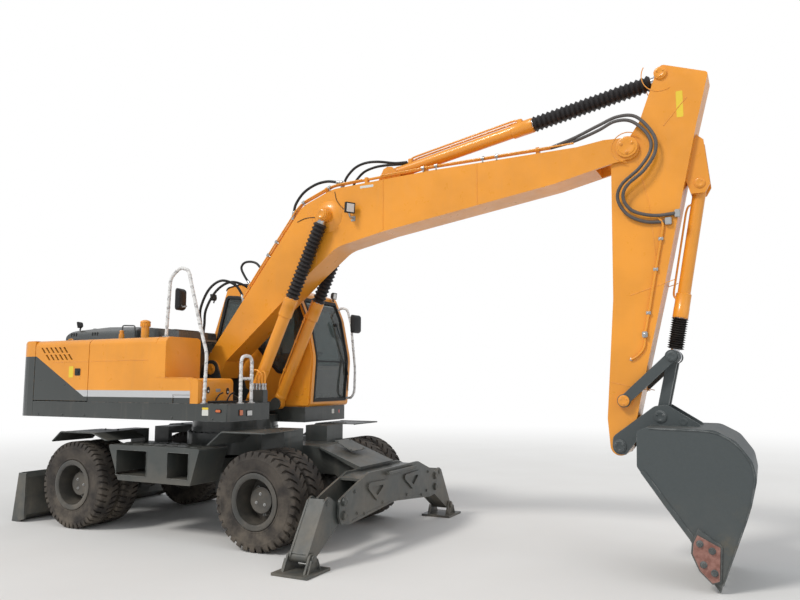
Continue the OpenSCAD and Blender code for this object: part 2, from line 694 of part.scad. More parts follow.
module toolbox() {
  top = 1826;
  tall = [[-body_w/2, deck_z + seat_gap, 0], [-body_w/2, panel_top_z, 90], [-660, panel_top_z, 60], [-660, deck_z + seat_gap, 0]];
  low = [[seam_b + seat_gap, deck_z + seat_gap, 0], [480, deck_z + seat_gap, 0], [480, top, 60], [seam_b + seat_gap, top, 0]];
  color(yellow) {
    section(rounded(tall), seam_b + seat_gap, tank_x);
    difference() {
      plate(rounded(low), -body_w/2, -640);
      box([100, -body_w/2 - 1, 0], [band_end_x, -body_w/2 + 10, 1640]);
    }
  }
}

// The deck behind the boom's bay, with openings under the hood, beside the cab and over the toolbox
module top_deck() {
  bay_x = -560;
  bay_y = boom_y - 250;
  hump = [[-860, panel_top_z - 6], [-200, panel_top_z - 6], [-200, hood_z - 90], [-840, hood_z - 40]];
  color(charcoal)
  difference() {
    union() {
      box([-ballast_x + seat_gap, -body_w/2 + shoulder + 16, panel_top_z - 30], [tank_x - 20, body_w/2 - shoulder - 16, panel_top_z - 5]);
      plate(hump, -860, cab_y - 60);
      for (x = [-2300, bay_x - 40])
        box([x, -300, deck_z + seat_gap], [x + 30, 260, panel_top_z - 20]);
      hood_barrel(hinge_y - 60, hinge_y - 35, 9);
      hood_barrel(hinge_y + 35, hinge_y + 60, 9);
      hood_barrel(hinge_y - 60, hinge_y + 60, 5);
      both_sides()
        for (y = [hinge_y - 60, hinge_y + 35])
          box([hood_pin[0] - 9, y, panel_top_z - 10], [hood_pin[0] + 9, y + 25, hood_pin[1]]);
    }
    box([-2140, 30 - hood_half, panel_top_z - 40], [-900, hood_half - 30, panel_top_z + 4]);
    box([-850, cab_y - 12, panel_top_z - 40], [100, 1300, panel_top_z + 4]);
    box([seam_b, -1300, panel_top_z - 40], [100, -650, panel_top_z + 4]);
    box([bay_x, bay_y, deck_z - 1], [100, cab_y, hood_z]);
  }
}

hood_pin = [-2190, panel_top_z + 7];
hinge_y = 630;

// Hinge barrels across the hood's rear edge, on both sides, between two distances from the middle
module hood_barrel(y0, y1, r)
  both_sides() across(hood_pin, r, y0, y1);

module hood() {
  side = [[-2180, panel_top_z + seat_gap, 0], [-880, panel_top_z + seat_gap, 0], [-880, hood_z - 20, 60],
          [-1500, hood_z, 300], [-2080, hood_z - 40, 120], [-2180, hood_z - 120, 60]];
  color(charcoal)
  difference() {
    union() {
      hood_barrel(hinge_y - 30, hinge_y + 30, 9);
      both_sides()
        box([hood_pin[0], hinge_y - 30, hood_pin[1] - 6], [hood_pin[0] + 16, hinge_y + 30, hood_pin[1] + 9]);
    }
    hood_barrel(hinge_y - 40, hinge_y + 40, 5 + pin_play);
  }
  color(charcoal)
  difference() {
    intersection() {
      plate(rounded(side), -hood_half, hood_half);
      section(rounded([[-hood_half, 2200, 0], [-hood_half, hood_z - 70, 60], [140 - hood_half, hood_z + 5, 80],
                       [hood_half - 140, hood_z + 5, 80], [hood_half, hood_z - 70, 60], [hood_half, 2200, 0]]),
              -2300, -800);
    }
    intersection() {
      plate([for (p = inset(side, 14)) [p[0], p[1] - (p[1] < panel_top_z + 50 ? 40 : 0)]], -886, 886);
      section([[-886, 2200], [-886, hood_z - 80], [-760, hood_z - 12], [760, hood_z - 12],
               [886, hood_z - 80], [886, 2200]], -2300, -800);
    }
  }
}

module engine()
  color(dark)
  box([-1950, -420, deck_z + seat_gap], [-1000, 380, 2180]);

module radiator_door()
  color(yellow)
  mirror([0, 1, 0])
  difference() {
    section(panel_section(body_w/2, panel_t, door_gap), -ballast_x + door_gap, -860 - door_gap);
    slats(-2160, 6, 2225, 84);
    door_pin(pin_play);
  }

module stacks()
  color(yellow) {
    translate([-620, -body_w/2 + 240, panel_top_z - 5 + seat_gap]) {
      cylinder(r = 48, h = 150);
      translate([0, 0, 150]) cylinder(r = 58, h = 50);
    }
    translate([-980, -body_w/2 + 200, panel_top_z - 5 + seat_gap]) {
      cylinder(r = 34, h = 70);
      translate([0, 0, 70]) cylinder(r = 24, h = 30);
    }
  }

// Cab

cab_out = [[-790, deck_z + seat_gap, 20], [1505, deck_z + seat_gap, 50], [1550, 2150, 400], [1430, 2660, 300],
           [1190, cab_roof_z - 215, 160], [300, cab_roof_z - 40, 300], [-200, cab_roof_z, 200], [-440, cab_roof_z - 40, 70],
           [-745, 2200, 100]];
cab_in = inset(cab_out, cab_wall);
door_x = [130, 1090];

// Window outlines in side view: x, z, radius
rear_win = [[-640, 2180, 60], [-60, 2150, 60], [-60, 2920, 60], [-440, 2960, 60]];
mid_win = [[60, 1980, 60], [880, 1950, 60], [880, 2840, 60], [60, 2920, 60]];
front_win = [[980, 1620, 60], [1420, 1620, 40], [1450, 2150, 200], [1340, 2620, 100], [1220, 2790, 60], [980, 2830, 60]];
door_out = [[door_x[0], 1600, 0], [door_x[1] - 40, 1600, 40], [door_x[1], 2100, 200], [door_x[1] - 20, 2860, 80],
            [door_x[0], 2960, 0]];
door_win = [[door_x[0] + 70, 2060, 50], [door_x[1] - 75, 2060, 60], [door_x[1] - 95, 2790, 60], [door_x[0] + 70, 2870, 60]];
side_win = [[-620, 2180, 60], [door_x[0] - 70, 2180, 60], [door_x[0] - 70, 2920, 60], [-440, 2950, 60]];

module cut_right(t) plate(rounded(t), cab_y - 5, cab_y + cab_wall + 5);
module cut_left(t) plate(rounded(t), body_w/2 - cab_wall - 5, body_w/2 + 5);

module front_opening() box([900, cab_y + 90, 1640], [1700, body_w/2 - 90, 2700]);
module rear_opening() box([-900, cab_y + 110, 2260], [-400, body_w/2 - 110, 2880]);

module cab_door_pin(grow = 0)
  translate([door_x[0] + pin_in, body_w/2 - pin_in, 1580]) cylinder(r = 6 + grow, h = 100);

module cab()
  color(yellow) {
    cab_door_pin();
    difference() {
      plate(rounded(cab_out), cab_y, body_w/2);
      plate(rounded(cab_in), cab_y + cab_wall, body_w/2 - cab_wall);
      for (w = [rear_win, mid_win, front_win]) cut_right(w);
      cut_left(side_win);
      cut_left(inset(door_out, -door_gap));
      front_opening();
      rear_opening();
    }
  }

module pane_right(t) plate(rounded(t), cab_y + 10, cab_y + 10 + glass_t);

module cab_glass()
  color([0.2, 0.25, 0.28, 0.5]) {
    for (w = [rear_win, mid_win, front_win]) pane_right(w);
    plate(rounded(side_win), body_w/2 - 10 - glass_t, body_w/2 - 10);
    difference() {
      plate(rounded(inset(cab_out, 12)), cab_y + 90, body_w/2 - 90);
      plate(rounded(inset(cab_out, 12 + glass_t)), cab_y + 80, body_w/2 - 80);
      box([-1000, 0, 0], [1000, 1300, 4000]);
      box([0, 0, 0], [2000, 1300, 1640]);
      box([0, 0, 2700], [2000, 1300, 4000]);
    }
    difference() {
      plate(rounded(inset(cab_out, 12)), cab_y + 110, body_w/2 - 110);
      plate(rounded(inset(cab_out, 12 + glass_t)), cab_y + 100, body_w/2 - 100);
      box([-350, 0, 0], [2000, 1300, 4000]);
      box([-1000, 0, 0], [2000, 1300, 2260]);
      box([-1000, 0, 2880], [2000, 1300, 4000]);
    }
  }

module cab_door()
  color(yellow)
  difference() {
    plate(rounded(door_out), body_w/2 - cab_wall, body_w/2);
    cut_left(door_win);
    cab_door_pin(pin_play);
  }

module cab_door_glass()
  color([0.2, 0.25, 0.28, 0.5])
  plate(rounded(door_win), body_w/2 - 10 - glass_t, body_w/2 - 10);

module seat() {
  floor_z = deck_z + cab_wall + 2*seat_gap;
  y = (cab_y + body_w/2)/2;
  arm_y = 250 + seat_gap;
  color(dark) {
    box([-120, y - 180, floor_z], [260, y + 180, floor_z + 300]);
    plate(rounded([[-180, floor_z + 300, 0], [330, floor_z + 300, 40], [330, floor_z + 410, 50], [-180, floor_z + 400, 0]]),
          y - 250, y + 250);
    plate(rounded([[-180, floor_z + 330, 0], [-180, floor_z + 1000, 50], [-300, floor_z + 1010, 50], [-260, floor_z + 330, 0]]),
          y - 240, y + 240);
    for (s = [-1, 1])
      plate(rounded([[-150, floor_z + 300, 0], [420, floor_z + 440, 30], [420, floor_z + 560, 40], [-120, floor_z + 590, 40]]),
            y + s*(arm_y + 55) - 55, y + s*(arm_y + 55) + 55);
    box([920, y - 110, floor_z], [1080, y + 110, floor_z + 120]);
    tube([[990, y, floor_z + 60], [899, y, floor_z + 647]], 45);
    translate([895, y, floor_z + 660]) rotate([0, -12, 0]) rotate_extrude($fn = 32) translate([180, 0]) circle(r = 14, $fn = 16);
    translate([895, y, floor_z + 655]) rotate([0, -12, 0]) for (a = [0, 120, 240]) rotate([0, 0, a])
      translate([0, -14, -6]) cube([180, 28, 12]);
  }
}

module handrails() {
  r = 17;
  edge = body_w/2;
  tall_y = edge - 50;
  back_y = edge - 120;
  step_y = [edge - 90, edge - 260];
  cab_rail_y = edge - 60;
  z0 = deck_z + seat_gap;
  color(white) {
    tube([[575, -tall_y, z0], [575, -tall_y, 1950], [250, -tall_y, 2560], [90, -tall_y + 40, 3000], [-60, -back_y, 2960],
          [-150, -back_y, 2700], [-110, -back_y, 2500], [-110, -back_y, panel_top_z + seat_gap]], r, ease = 60);
    tube([[860, -step_y[0], z0], [860, -step_y[0], 2000], [860, -step_y[1], 2000], [860, -step_y[1], z0]], r,
         side = [1, 0, 0], ease = 60);
    tube([[860, -step_y[0], 1760], [860, -step_y[1], 1760]], r, side = [1, 0, 0]);
    tube([[1513.1, cab_rail_y, 1630], [1575, cab_rail_y, 1630], [1612, cab_rail_y, 1740], [1612, cab_rail_y, 2420],
          [1455, cab_rail_y, 2700], [1418.1, cab_rail_y, 2663.8]], 15);
  }
  color(dark) {
    box([10, -tall_y, 2620], [50, -tall_y + 180, 2890]);
    box([1602, cab_rail_y + 20, 2480], [1642, cab_rail_y + 180, 2760]);
    tube([[1602, cab_rail_y, 2400], [1617, cab_rail_y + 60, 2560]], 10, side = [1, 0, 0]);
  }
}

// Working arm

function b(x, z) = boom_foot + turn([x + 150, z - 1945], boom_rise - 22.4);

// Pin between two bracket plates, with collars beside the ram's eye
module bracket_pin(p, r, reach) {
  across(p, r, boom_y - reach, boom_y + reach);
  for (s = [-1, 1])
    across(p, r + 22, boom_y + s*(reach + 46)/2 - (reach - 46)/2, boom_y + s*(reach + 46)/2 + (reach - 46)/2);
}

module boom() {
  t = [[-196, 2164, 30], [780, 3400, 260], [1200, 3930, 300], [1640, 4095, 400], [2926, 4150, 0], [4578, 4172, 0], [4850, 4205, 90],
       [5190, 4190, 110], [5190, 3985, 110], [4934, 3952, 100], [4332, 3816, 0], [3489, 3688, 0], [2327, 3510, 300],
       [1700, 3380, 400], [1300, 3075, 200], [14, 2005, 30]];
  turned = [for (c = t) let (p = b(c[0], c[1])) [p[0], p[1], c[2]]];
  neck = [b(-300, 1960), b(-200, 2165), b(60, 2040), b(-60, 1830)];
  color(yellow)
  difference() {
    union() {
      plate(rounded(turned, 5), boom_y - boom_half, boom_y + boom_half);
      plate(neck, boom_y - boom_half, boom_y + boom_half);
      across(boom_foot, 112, boom_y - 205, boom_y + 205);
      across(boom_ram_eye, 95, boom_y - boom_ram_y + 50, boom_y + boom_ram_y - 50);
      across(boom_tip, 105, boom_y - boom_half - 12, boom_y + boom_half + 12);
      for (s = [-1, 1])
        plate([b(2210, 4120), b(2290, 4275), b(2340, 4300), b(2400, 4290), b(2560, 4120)],
              boom_y + s*(arm_ram_r + 27) - 12, boom_y + s*(arm_ram_r + 27) + 12);
    }
    across(boom_foot, 45 + pin_play, boom_y - 300, boom_y + 300);
    plate([b(4760, 3500), b(4760, 4400), b(5400, 4400), b(5400, 3500)], boom_y - arm_half - side_gap, boom_y + arm_half + side_gap);
  }
  color(yellow) {
    bracket_pin(arm_ram_foot, 34, arm_ram_r + 20);
    across(boom_tip, 48, boom_y - arm_half - side_gap, boom_y + arm_half + side_gap);
  }
}

// A side-view route moved to its left by d
function lifted(t, d) =
  [for (i = [0:len(t) - 1])
    let (u = unit(t[min(i + 1, len(t) - 1)] - t[min(i, len(t) - 2)]), v = unit(t[max(i, 1)] - t[max(i, 1) - 1]),
         m = unit([-u[1] - v[1], u[0] + v[0]]))
    t[i] + m*d/(m*[-u[1], u[0]])];

boom_back = [b(300, 2792), b(780, 3400), b(1200, 3930), b(1640, 4095), b(2926, 4150), b(4300, 4168)];

// Two pipes along the boom's back, in clamps that stand on it
module boom_pipes()
  color(yellow)
  for (s = [-1, 1]) {
    y = boom_y + s*142;
    tube([for (p = lifted(boom_back, 50)) [p[0], y, p[1]]], 16);
    for (c = [[0, 0.3], [1, 0.4], [2, 0.8], [3, 0.35], [3, 0.95], [4, 0.9]])
      let (p = boom_back[c[0]], q = boom_back[c[0] + 1])
        aim(p + c[1]*(q - p), q, y) box([-74, -28, -18], [-seat_gap, 28, 18]);
  }

// Hollow barrel of a ram: foot eye, tube, gland head
module barrel(p, q, y, r, rod, len, pin) {
  difference() {
    union() {
      aim(p, q, y) {
        cylinder(r = r, h = len - 90);
        translate([0, 0, len - 110]) cylinder(r = r + 8, h = 110);
      }
      across(p, r, y - 45, y + 45);
    }
    across(p, pin + pin_play, y - 100, y + 100);
    for (s = [-1, 1])
      translate([p[0], y + s*(45 + 60) , p[1]]) rotate([90, 0, 0]) cylinder(r = r + 12, h = 120, center = true);
    aim(p, q, y) {
      translate([0, 0, r + 30]) cylinder(r = rod + 12, h = len - r - 30 - 110);
      cylinder(r = rod + pin_play, h = len + 5);
    }
  }
}

// Rod of a ram, from its eye at q back into the barrel
module rod(p, q, y, r, len, eye_r, eye_w)
  union() {
    aim(q, p, y) cylinder(r = r, h = len);
    across(q, eye_r, y - eye_w/2, y + eye_w/2);
  }

// Folded sleeve between two distances along a ram
module sleeve(p, q, y, rod, r, z0, z1, folds) {
  pitch = (z1 - z0)/folds;
  aim(p, q, y)
    rotate_extrude($fn = 32)
      polygon(concat(
        [[rod + 3, z0]],
        [for (i = [0:folds - 1]) each [[r - 22, z0 + i*pitch], [r, z0 + (i + 0.5)*pitch]]],
        [[r - 22, z1], [rod + 3, z1]]));
}

// Each ram between its pins in the stored pose, its gland's distance from the rod's eye,
// and the rod's inner end's distance from the barrel's foot
boom_now = norm(boom_ram_eye - boom_ram_foot);
boom_barrel = boom_now - 1078;
boom_rod = boom_now - 790;
arm_now = norm(arm_ram_eye - arm_ram_foot);
arm_barrel = arm_now - 1359;
arm_rod = arm_now - 1166;
bucket_now = norm(guide_top - bucket_ram_foot);
bucket_barrel = bucket_now - 380;
bucket_rod = bucket_now - 140;

module boom_ram_barrels()
  color(yellow)
  for (s = [-1, 1])
    barrel(boom_ram_foot, boom_ram_eye, boom_y + s*boom_ram_y, boom_ram_r, 45, boom_barrel, 36);

module boom_ram_rods()
  color("silver")
  for (s = [-1, 1])
    rod(boom_ram_foot, boom_ram_eye, boom_y + s*boom_ram_y, 45, boom_rod, 78, 86);

module boom_ram_bellows()
  color(rubber)
  for (s = [-1, 1])
    sleeve(boom_ram_foot, boom_ram_eye, boom_y + s*boom_ram_y, 45, 86, boom_barrel + 1, boom_now - 110, 19);

module arm_ram_barrel()
  color(yellow)
  barrel(arm_ram_foot, arm_ram_eye, boom_y, arm_ram_r, 48, arm_barrel, 34);

module arm_ram_rod()
  color("silver")
  rod(arm_ram_foot, arm_ram_eye, boom_y, 48, arm_rod, 80, 90);

module arm_ram_bellows()
  color(rubber)
  sleeve(arm_ram_foot, arm_ram_eye, boom_y, 48, 86, arm_barrel + 1, arm_now - 110, 24);

module arm() {
  t = [[-164, -164, 60], [124, 252, 200], [290, 700, 60], [345, 800, 40], [770, 640, 30], [640, 130, 0], [455, -682, 0],
       [300, -1371, 0], [100, -2199, 0], [0, -2640, 60]];
  corners = concat([for (c = t) let (p = from_tip(c[0], c[1])) [p[0], p[1], c[2]]],
                   [for (c = [[86, 30, 0], [-66, -62, 0], [-92, 0, 0], [-110, 260, 0]]) let (p = from_foot(c[0], c[1])) [p[0], p[1], c[2]]],
                   [let (p = from_tip(-188, -1500)) [p[0], p[1], 0]]);
  bracket = [from_tip(630, 60), from_tip(695, 0), from_tip(735, -440), from_tip(690, -520), from_tip(560, -520), from_tip(500, -300)];
  color(yellow)
  difference() {
    union() {
      plate(rounded(corners, 4), boom_y - arm_half, boom_y + arm_half);
      for (s = [-1, 1])
        plate(bracket, boom_y + s*(bucket_ram_r + 27) - 12, boom_y + s*(bucket_ram_r + 27) + 12);
      across(arm_foot, 92, boom_y - arm_half, boom_y + arm_half);
      across(guide_foot, 70, boom_y - arm_half - 38, boom_y + arm_half + 38);
    }
    across(boom_tip, 48 + pin_play, boom_y - 300, boom_y + 300);
    across(arm_foot, 42 + pin_play, boom_y - 300, boom_y + 300);
    plate([from_tip(0, 560), from_tip(250, 440), from_tip(480, 600), from_tip(640, 690), from_tip(640, 950), from_tip(100, 950)],
          boom_y - 52, boom_y + 52);
  }
  color(yellow) {
    across(guide_foot, 36, boom_y - 230, boom_y + 230);
    for (s = [-1, 1])
      across(arm_ram_eye, 30, boom_y + s*105 - 53 - (s < 0 ? 10 : 0), boom_y + s*105 + 53 + (s > 0 ? 10 : 0));
    bracket_pin(bucket_ram_foot, 34, bucket_ram_r + 20);
  }
}

ear_y = arm_half + side_gap + ear_t/2;
guide_y = arm_half + 2*side_gap + ear_t + guide_t/2 + 3;

module guide_links()
  color(charcoal)
  for (s = [-1, 1])
    difference() {
      union() {
        plate(bar_outline(guide_foot, guide_top, 62, 48), boom_y + s*guide_y - guide_t/2, boom_y + s*guide_y + guide_t/2);
        across(guide_top, 30, boom_y + s*(guide_y - 23) - 23, boom_y + s*(guide_y - 23) + 23);
      }
      across(guide_foot, 36 + pin_play, boom_y - 300, boom_y + 300);
    }

module bucket_link()
  color(charcoal)
  difference() {
    union() {
      across(ear_pin, 60, boom_y - 155, boom_y + 155);
      for (s = [-1, 1]) {
        across(guide_top, 60, boom_y + s*92 - 32, boom_y + s*92 + 32);
        aim(ear_pin, guide_top, boom_y + s*92) box([-46, -30, 0], [46, 30, norm(guide_top - ear_pin)]);
      }
    }
    across(ear_pin, 38 + pin_play, boom_y - 200, boom_y + 200);
  }

module bucket_ram_barrel()
  color(yellow)
  barrel(bucket_ram_foot, guide_top, boom_y, bucket_ram_r, 42, bucket_barrel, 34);

module bucket_ram_rod()
  color("silver")
  rod(bucket_ram_foot, guide_top, boom_y, 42, bucket_rod, 66, 90);

module bucket_ram_bellows()
  color(rubber)
  sleeve(bucket_ram_foot, guide_top, boom_y, 42, 80, bucket_barrel + 1, bucket_now - 75, 14);

// Bucket outline in side view, from the arm's lower pin: x, z, radius
bucket_back = [[215, 170, 40], [300, 208, 40], [860, 200, 140], [1030, 110, 160], [1150, -60, 160], [1173, -205, 160],
               [1120, -430, 120], [860, -1120, 0]];
bucket_mouth = [[790, -1050, 0], [640, -760, 60], [206, -145, 60]];

module bucket() {
  w = bucket_w/2;
  outer = rounded([for (c = concat(bucket_back, bucket_mouth)) let (p = from_foot(c[0], c[1])) [p[0], p[1], c[2]]], 5);
  inner = rounded([for (c = concat([[230, 150, 40], [310, 186, 40], [850, 178, 120], [1010, 92, 140], [1128, -72, 140], [1150, -205, 140],
                                    [1098, -430, 100], [835, -1115, 0]], [[500, -1150, 0], [0, -150, 0]]))
                   let (p = from_foot(c[0], c[1])) [p[0], p[1], c[2]]], 5);
  ear = rounded([for (c = [[-70, -75, 70], [120, -80, 60], [700, 30, 60], [735, 215, 40], [440, 400, 60], [330, 385, 80], [-60, 90, 70]])
                 let (p = from_foot(c[0], c[1])) [p[0], p[1], c[2]]], 4);
  color(charcoal)
  difference() {
    union() {
      difference() {
        plate(outer, boom_y - w, boom_y + w);
        plate(inner, boom_y - w + bucket_t, boom_y + w - bucket_t);
      }
      difference() {
        for (s = [-1, 1]) plate(ear, boom_y + s*ear_y - ear_t/2, boom_y + s*ear_y + ear_t/2);
        plate(inner, boom_y - w + bucket_t, boom_y + w - bucket_t);
      }
    }
    across(lift_eye, 32, boom_y - 300, boom_y + 300);
  }
  color(charcoal) {
    across(arm_foot, 42, boom_y - ear_y - ear_t/2, boom_y + ear_y + ear_t/2);
    across(ear_pin, 38, boom_y - ear_y - ear_t/2, boom_y + ear_y + ear_t/2);
    for (i = [0:teeth - 1]) {
      y = boom_y - w + 70 + i*(bucket_w - 140)/(teeth - 1);
      plate([for (c = [[800, -990], [880, -990], [870, -1090], [852, -1162], [842, -1162], [790, -1080]]) from_foot(c[0], c[1])],
            y - 40, y + 40);
    }
    for (s = [-1, 1])
      plate([for (c = [[700, -640], [640, -760], [630, -850], [690, -990], [790, -1090], [860, -1060], [880, -770]]) from_foot(c[0], c[1])],
            boom_y + s*(w + 9) - 9, boom_y + s*(w + 9) + 9);
  }
}

translate([-middle_x, 0, 0]) {
  chassis();
  mudguards();
  step_boxes();
  rigid_axle();
  steer_axle();
  driveline();
  knuckle();  // knuckle_l
  mirror([0, 1, 0]) knuckle();  // knuckle_r
  track_rod();
  tyre_pair(steer_axle_x);  // tyres_steer_l
  mirror([0, 1, 0]) tyre_pair(steer_axle_x);  // tyres_steer_r
  tyre_pair(rigid_axle_x);  // tyres_rigid_l
  mirror([0, 1, 0]) tyre_pair(rigid_axle_x);  // tyres_rigid_r
  wheel_pair(steer_axle_x);  // wheels_steer_l
  mirror([0, 1, 0]) wheel_pair(steer_axle_x);  // wheels_steer_r
  wheel_pair(rigid_axle_x);  // wheels_rigid_l
  mirror([0, 1, 0]) wheel_pair(rigid_axle_x);  // wheels_rigid_r
  blade();
  blade_arms();
  blade_links();
  blade_ram_barrels();
  blade_ram_rods();
  outrigger_beam();
  leg();  // leg_l
  mirror([0, 1, 0]) leg();  // leg_r
  foot_pad();  // foot_l
  mirror([0, 1, 0]) foot_pad();  // foot_r
  platform();
  counterweight();
  engine();
  tank_cover();
  toolbox();
  top_deck();
  pump_door();
  radiator_door();
  hood();
  stacks();
  cab();
  cab_glass();
  cab_door();
  cab_door_glass();
  seat();
  handrails();
  boom();
  boom_pipes();
  boom_ram_barrels();
  boom_ram_rods();
  boom_ram_bellows();
  arm();
  arm_ram_barrel();
  arm_ram_rod();
  arm_ram_bellows();
  guide_links();
  bucket_link();
  bucket_ram_barrel();
  bucket_ram_rod();
  bucket_ram_bellows();
  bucket();
}
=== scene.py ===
import json
import math

import bmesh
import bpy
from mathutils import Matrix, Vector

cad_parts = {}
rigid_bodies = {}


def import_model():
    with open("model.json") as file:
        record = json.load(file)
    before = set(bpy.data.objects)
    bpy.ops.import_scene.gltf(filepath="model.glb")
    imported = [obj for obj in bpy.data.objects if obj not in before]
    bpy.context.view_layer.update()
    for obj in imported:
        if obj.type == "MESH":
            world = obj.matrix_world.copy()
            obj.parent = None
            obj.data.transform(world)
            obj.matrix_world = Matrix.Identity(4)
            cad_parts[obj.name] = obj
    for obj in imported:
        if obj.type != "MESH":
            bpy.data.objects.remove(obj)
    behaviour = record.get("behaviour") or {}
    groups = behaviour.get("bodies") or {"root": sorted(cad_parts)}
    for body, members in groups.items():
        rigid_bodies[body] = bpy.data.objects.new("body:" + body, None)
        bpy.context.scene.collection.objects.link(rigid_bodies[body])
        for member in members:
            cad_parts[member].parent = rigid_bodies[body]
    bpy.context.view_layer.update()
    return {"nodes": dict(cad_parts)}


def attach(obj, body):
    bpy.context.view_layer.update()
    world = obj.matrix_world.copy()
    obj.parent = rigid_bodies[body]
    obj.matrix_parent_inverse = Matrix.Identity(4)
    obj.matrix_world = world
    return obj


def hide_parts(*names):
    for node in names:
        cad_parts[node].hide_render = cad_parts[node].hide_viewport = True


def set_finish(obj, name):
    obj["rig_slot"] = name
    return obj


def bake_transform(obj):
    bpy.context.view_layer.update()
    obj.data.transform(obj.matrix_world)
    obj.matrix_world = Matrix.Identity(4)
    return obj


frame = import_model()

# The slewing axis stands this far behind the middle of the machine, in metres
AXIS_BACK = 1.66246
PIN_X, PIN_Y, PIN_Z = Vector((1, 0, 0)), Vector((0, 1, 0)), Vector((0, 0, 1))
# Half the body's width, and the boom's middle plane
SIDE_Y, BOOM_Y = 1.24, -0.100
# Side, and the words and letters that names use for it
SIDES = ((1, "left", "l"), (-1, "right", "r"))


def at(x, y, z):
    """A point given from the slewing axis, as the source gives it."""
    return Vector((x - AXIS_BACK, y, z))


# Camera, floor and light

CAMERA_PLACE = (4.5105, -7.448, 1.801)
# Degrees about X, Y and Z
CAMERA_TURN = (96.40, 0.06, 26.86)
# Millimetres
FOCAL_LENGTH, SENSOR_WIDTH = 32.175, 36


def make_camera():
    data = bpy.data.cameras.new("photo_view")
    data.sensor_width = SENSOR_WIDTH
    data.lens = FOCAL_LENGTH
    data.clip_end = 300
    camera = bpy.data.objects.new("photo_view", data)
    camera.location = CAMERA_PLACE
    camera.rotation_euler = [math.radians(a) for a in CAMERA_TURN]
    bpy.context.scene.collection.objects.link(camera)
    bpy.context.scene.camera = camera


def make_sun(name, energy, turn, spread, tint=(1, 1, 1)):
    """A sun lamp; its turn and the spread of its light are in degrees."""
    data = bpy.data.lights.new(name, "SUN")
    data.energy = energy
    data.color = tint
    data.angle = math.radians(spread)
    lamp = bpy.data.objects.new(name, data)
    lamp.rotation_euler = [math.radians(a) for a in turn]
    bpy.context.scene.collection.objects.link(lamp)


# Building blocks for shader trees

class Net:
    """A shader tree with short ways to add its nodes; values may be numbers or sockets."""

    def __init__(self, tree, shader=None):
        self.tree = tree
        self.shader = shader

    def node(self, kind, **settings):
        made = self.tree.nodes.new("ShaderNode" + kind)
        for key, value in settings.items():
            setattr(made, key, value)
        return made

    def feed(self, socket, value):
        if isinstance(value, bpy.types.NodeSocket):
            self.tree.links.new(value, socket)
        elif isinstance(value, tuple) and len(value) == 3 and len(socket.default_value) == 4:
            socket.default_value = (*value, 1)
        else:
            socket.default_value = value

    def calc(self, operation, a, b=0.0, c=0.0, clamp=False):
        made = self.node("Math", operation=operation, use_clamp=clamp)
        for socket, value in zip(made.inputs, (a, b, c)):
            self.feed(socket, value)
        return made.outputs[0]

    def ramp(self, value, low, high, to_low=0.0, to_high=1.0):
        made = self.node("MapRange", interpolation_type="SMOOTHSTEP")
        names = ("Value", "From Min", "From Max", "To Min", "To Max")
        for key, given in zip(names, (value, low, high, to_low, to_high)):
            self.feed(made.inputs[key], given)
        return made.outputs[0]

    def mix(self, share, a, b):
        made = self.node("Mix", data_type="RGBA")
        self.feed(made.inputs[0], share)
        self.feed(made.inputs[6], a)
        self.feed(made.inputs[7], b)
        return made.outputs[2]

    def times(self, a, b):
        return self.calc("MULTIPLY", a, b)

    def over(self, base, mask, share, colour):
        """A share of a colour laid over the base where the mask says."""
        return self.mix(self.times(mask, share), base, colour)

    def noise(self, place, scale, detail=3.0, rough=0.55):
        made = self.node("TexNoise")
        self.feed(made.inputs["Vector"], place)
        self.feed(made.inputs["Scale"], scale)
        self.feed(made.inputs["Detail"], detail)
        self.feed(made.inputs["Roughness"], rough)
        return made.outputs[0]

    def place(self):
        return self.node("TexCoord").outputs["Object"]

    def stretched(self, place, x, y, z):
        made = self.node("Mapping")
        self.feed(made.inputs["Vector"], place)
        made.inputs["Scale"].default_value = (x, y, z)
        return made.outputs[0]

    def xyz(self, vector):
        made = self.node("SeparateXYZ")
        self.feed(made.inputs[0], vector)
        return made.outputs

    def effect(self, name, **values):
        made = self.node("Group", node_tree=bpy.data.node_groups[name])
        for key, value in values.items():
            self.feed(made.inputs[key.replace("_", " ")], value)
        return made.outputs

    def dress(self, colour, rough=None, bump=None):
        """Feeds the shader its colour and roughness, and a bump given as height, strength, distance."""
        self.feed(self.shader.inputs["Base Color"], colour)
        if rough is not None:
            self.feed(self.shader.inputs["Roughness"], rough)
        if bump:
            made = self.node("Bump")
            for key, value in zip(("Height", "Strength", "Distance"), bump):
                self.feed(made.inputs[key], value)
            self.feed(self.shader.inputs["Normal"], made.outputs[0])


def new_effect(name, inputs, outputs):
    """A node group with named float inputs and named outputs."""
    tree = bpy.data.node_groups.new(name, "ShaderNodeTree")
    for key, value in inputs.items():
        socket = tree.interface.new_socket(key, in_out="INPUT", socket_type="NodeSocketFloat")
        socket.default_value = value
    for key in outputs:
        tree.interface.new_socket(key, in_out="OUTPUT", socket_type="NodeSocketFloat")
    net = Net(tree)
    given = tree.nodes.new("NodeGroupInput").outputs
    put_out = tree.nodes.new("NodeGroupOutput").inputs
    return net, given, put_out


# The side colours end here, in metres from the machine's middle
BAND_END = -1.300


